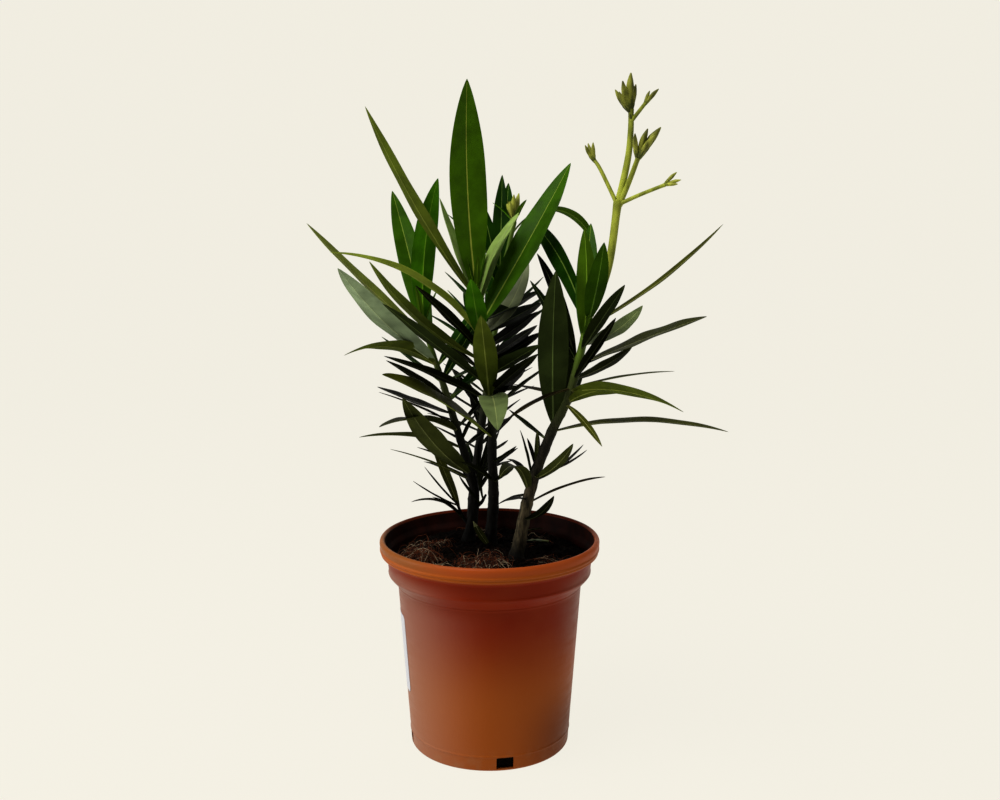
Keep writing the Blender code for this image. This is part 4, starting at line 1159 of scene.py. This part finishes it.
STALK_FINISHES = [stalk_green("stalk_green", colour(168, 176, 66), colour(92, 100, 28)),
                  stalk_green("sepal_green", colour(118, 126, 44), colour(52, 58, 16)),
                  stalk_green("bud_green", colour(172, 176, 74), colour(66, 68, 16))]


def bloom_piece(name, branches, buds, bracts):
    """One piece of stalks, buds and the small bracts that stand where the branches fork."""
    parts = [(*stalk_skin(*branch), 0) for branch in branches]
    for number, (foot, tip) in enumerate(buds):
        points, faces, in_cup = bud_skin(foot, tip, 1.3 * number)
        parts.append((points, faces, 2 - in_cup))
    parts += [(*leaf_skin(*leaf)[:2], 1) for leaf in bracts]
    return joined(name, parts, STALK_FINISHES, crease=55)


FORKS = ((94, -8, 419), (103, -3, 478))
BRACT = (38, -14, 5.0, 0, 2.0)  # lean, droop, length, twist and width
bracts = [(np.array(fork, float), bearing, *BRACT)
          for fork, bearings in zip(FORKS, ((0, 216), (40, 256))) for bearing in bearings]
flower = bloom_piece("flower_stalk_buds", STALKS, TIPPED_BUDS, bracts)
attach(flower, "root")
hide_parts("flower_stalk")
young_buds = bloom_piece("young_buds_back", [], [(BACK_BUD_FOOT, tip) for tip in BACK_BUD_TIPS], [])
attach(young_buds, "root")

# ----------------------------------------
# Studio. A pale cream sweep that rises behind the pot, soft lights overhead and at the sides, and the
# camera a little above the rim.

SWEEP_WIDTH = 6.0
SWEEP_FRONT = -2.6
SWEEP_BACK = 2.4
SWEEP_CURVE = 1.3
SWEEP_TOP = 4.0


def sweep(columns=3, steps=24):
    """A floor that turns up on a quarter circle into a back wall, as a grid across by along."""
    curve = (SWEEP_BACK, SWEEP_CURVE) + around(np.linspace(-math.pi / 2, 0, steps), SWEEP_CURVE)
    line = np.vstack([(SWEEP_FRONT, 0.0), curve, (SWEEP_BACK + SWEEP_CURVE, SWEEP_TOP)])
    across, row = np.meshgrid(np.linspace(-0.5, 0.5, columns) * SWEEP_WIDTH, np.arange(len(line)))
    return np.dstack([across, line[row]]).reshape(-1, 3) / MM, skin(len(line), columns, closed=False)


def softbox(name, place, aim, size, power):
    """A square area light at a place, turned to face another."""
    lamp = bpy.data.lights.new(name, "AREA")
    lamp.size = size
    lamp.energy = power
    lamp.color = (1.0, 0.98, 0.95)
    x, y, z = np.subtract(aim, place)
    made = placed(name, lamp)
    made.location = place
    made.rotation_euler = (math.atan2(math.hypot(x, y), -z), 0.0, math.atan2(-x, y))


sweep_paper, sweep_shader, _ = finish("sweep_paper", 1.0, 0.0, colour(243, 239, 227, 0.035))
sweep_shader.inputs["Emission Color"].default_value = colour(243, 240, 230)
sweep_shader.inputs["Emission Strength"].default_value = 0.99
studio = piece("studio_sweep", *sweep(), [sweep_paper], crease=60)

world = bpy.data.worlds.new("studio_air")
world.use_nodes = True
air = world.node_tree.nodes["Background"].inputs
air["Color"].default_value = (1.0, 0.97, 0.9, 1.0)
air["Strength"].default_value = 0.12
bpy.context.scene.world = world
softbox("light_above", (-0.55, -0.5, 1.7), (0, 0, 0.3), 0.9, 26)
softbox("light_left", (-1.3, -0.15, 0.3), (0, 0, 0.1), 0.8, 10)
softbox("light_right", (1.5, -0.2, 0.9), (0, 0, 0.25), 0.7, 3)

lens = bpy.data.cameras.new("camera")
lens.sensor_width = 36.0
lens.lens = 45.9
camera = placed("camera", lens)
camera.location = (0.008, -0.95, 0.442)
camera.rotation_euler = (math.radians(79.8), 0.0, 0.0)
scene = bpy.context.scene
scene.camera = camera
scene.view_settings.view_transform = "Standard"
scene.view_settings.gamma = 0.82
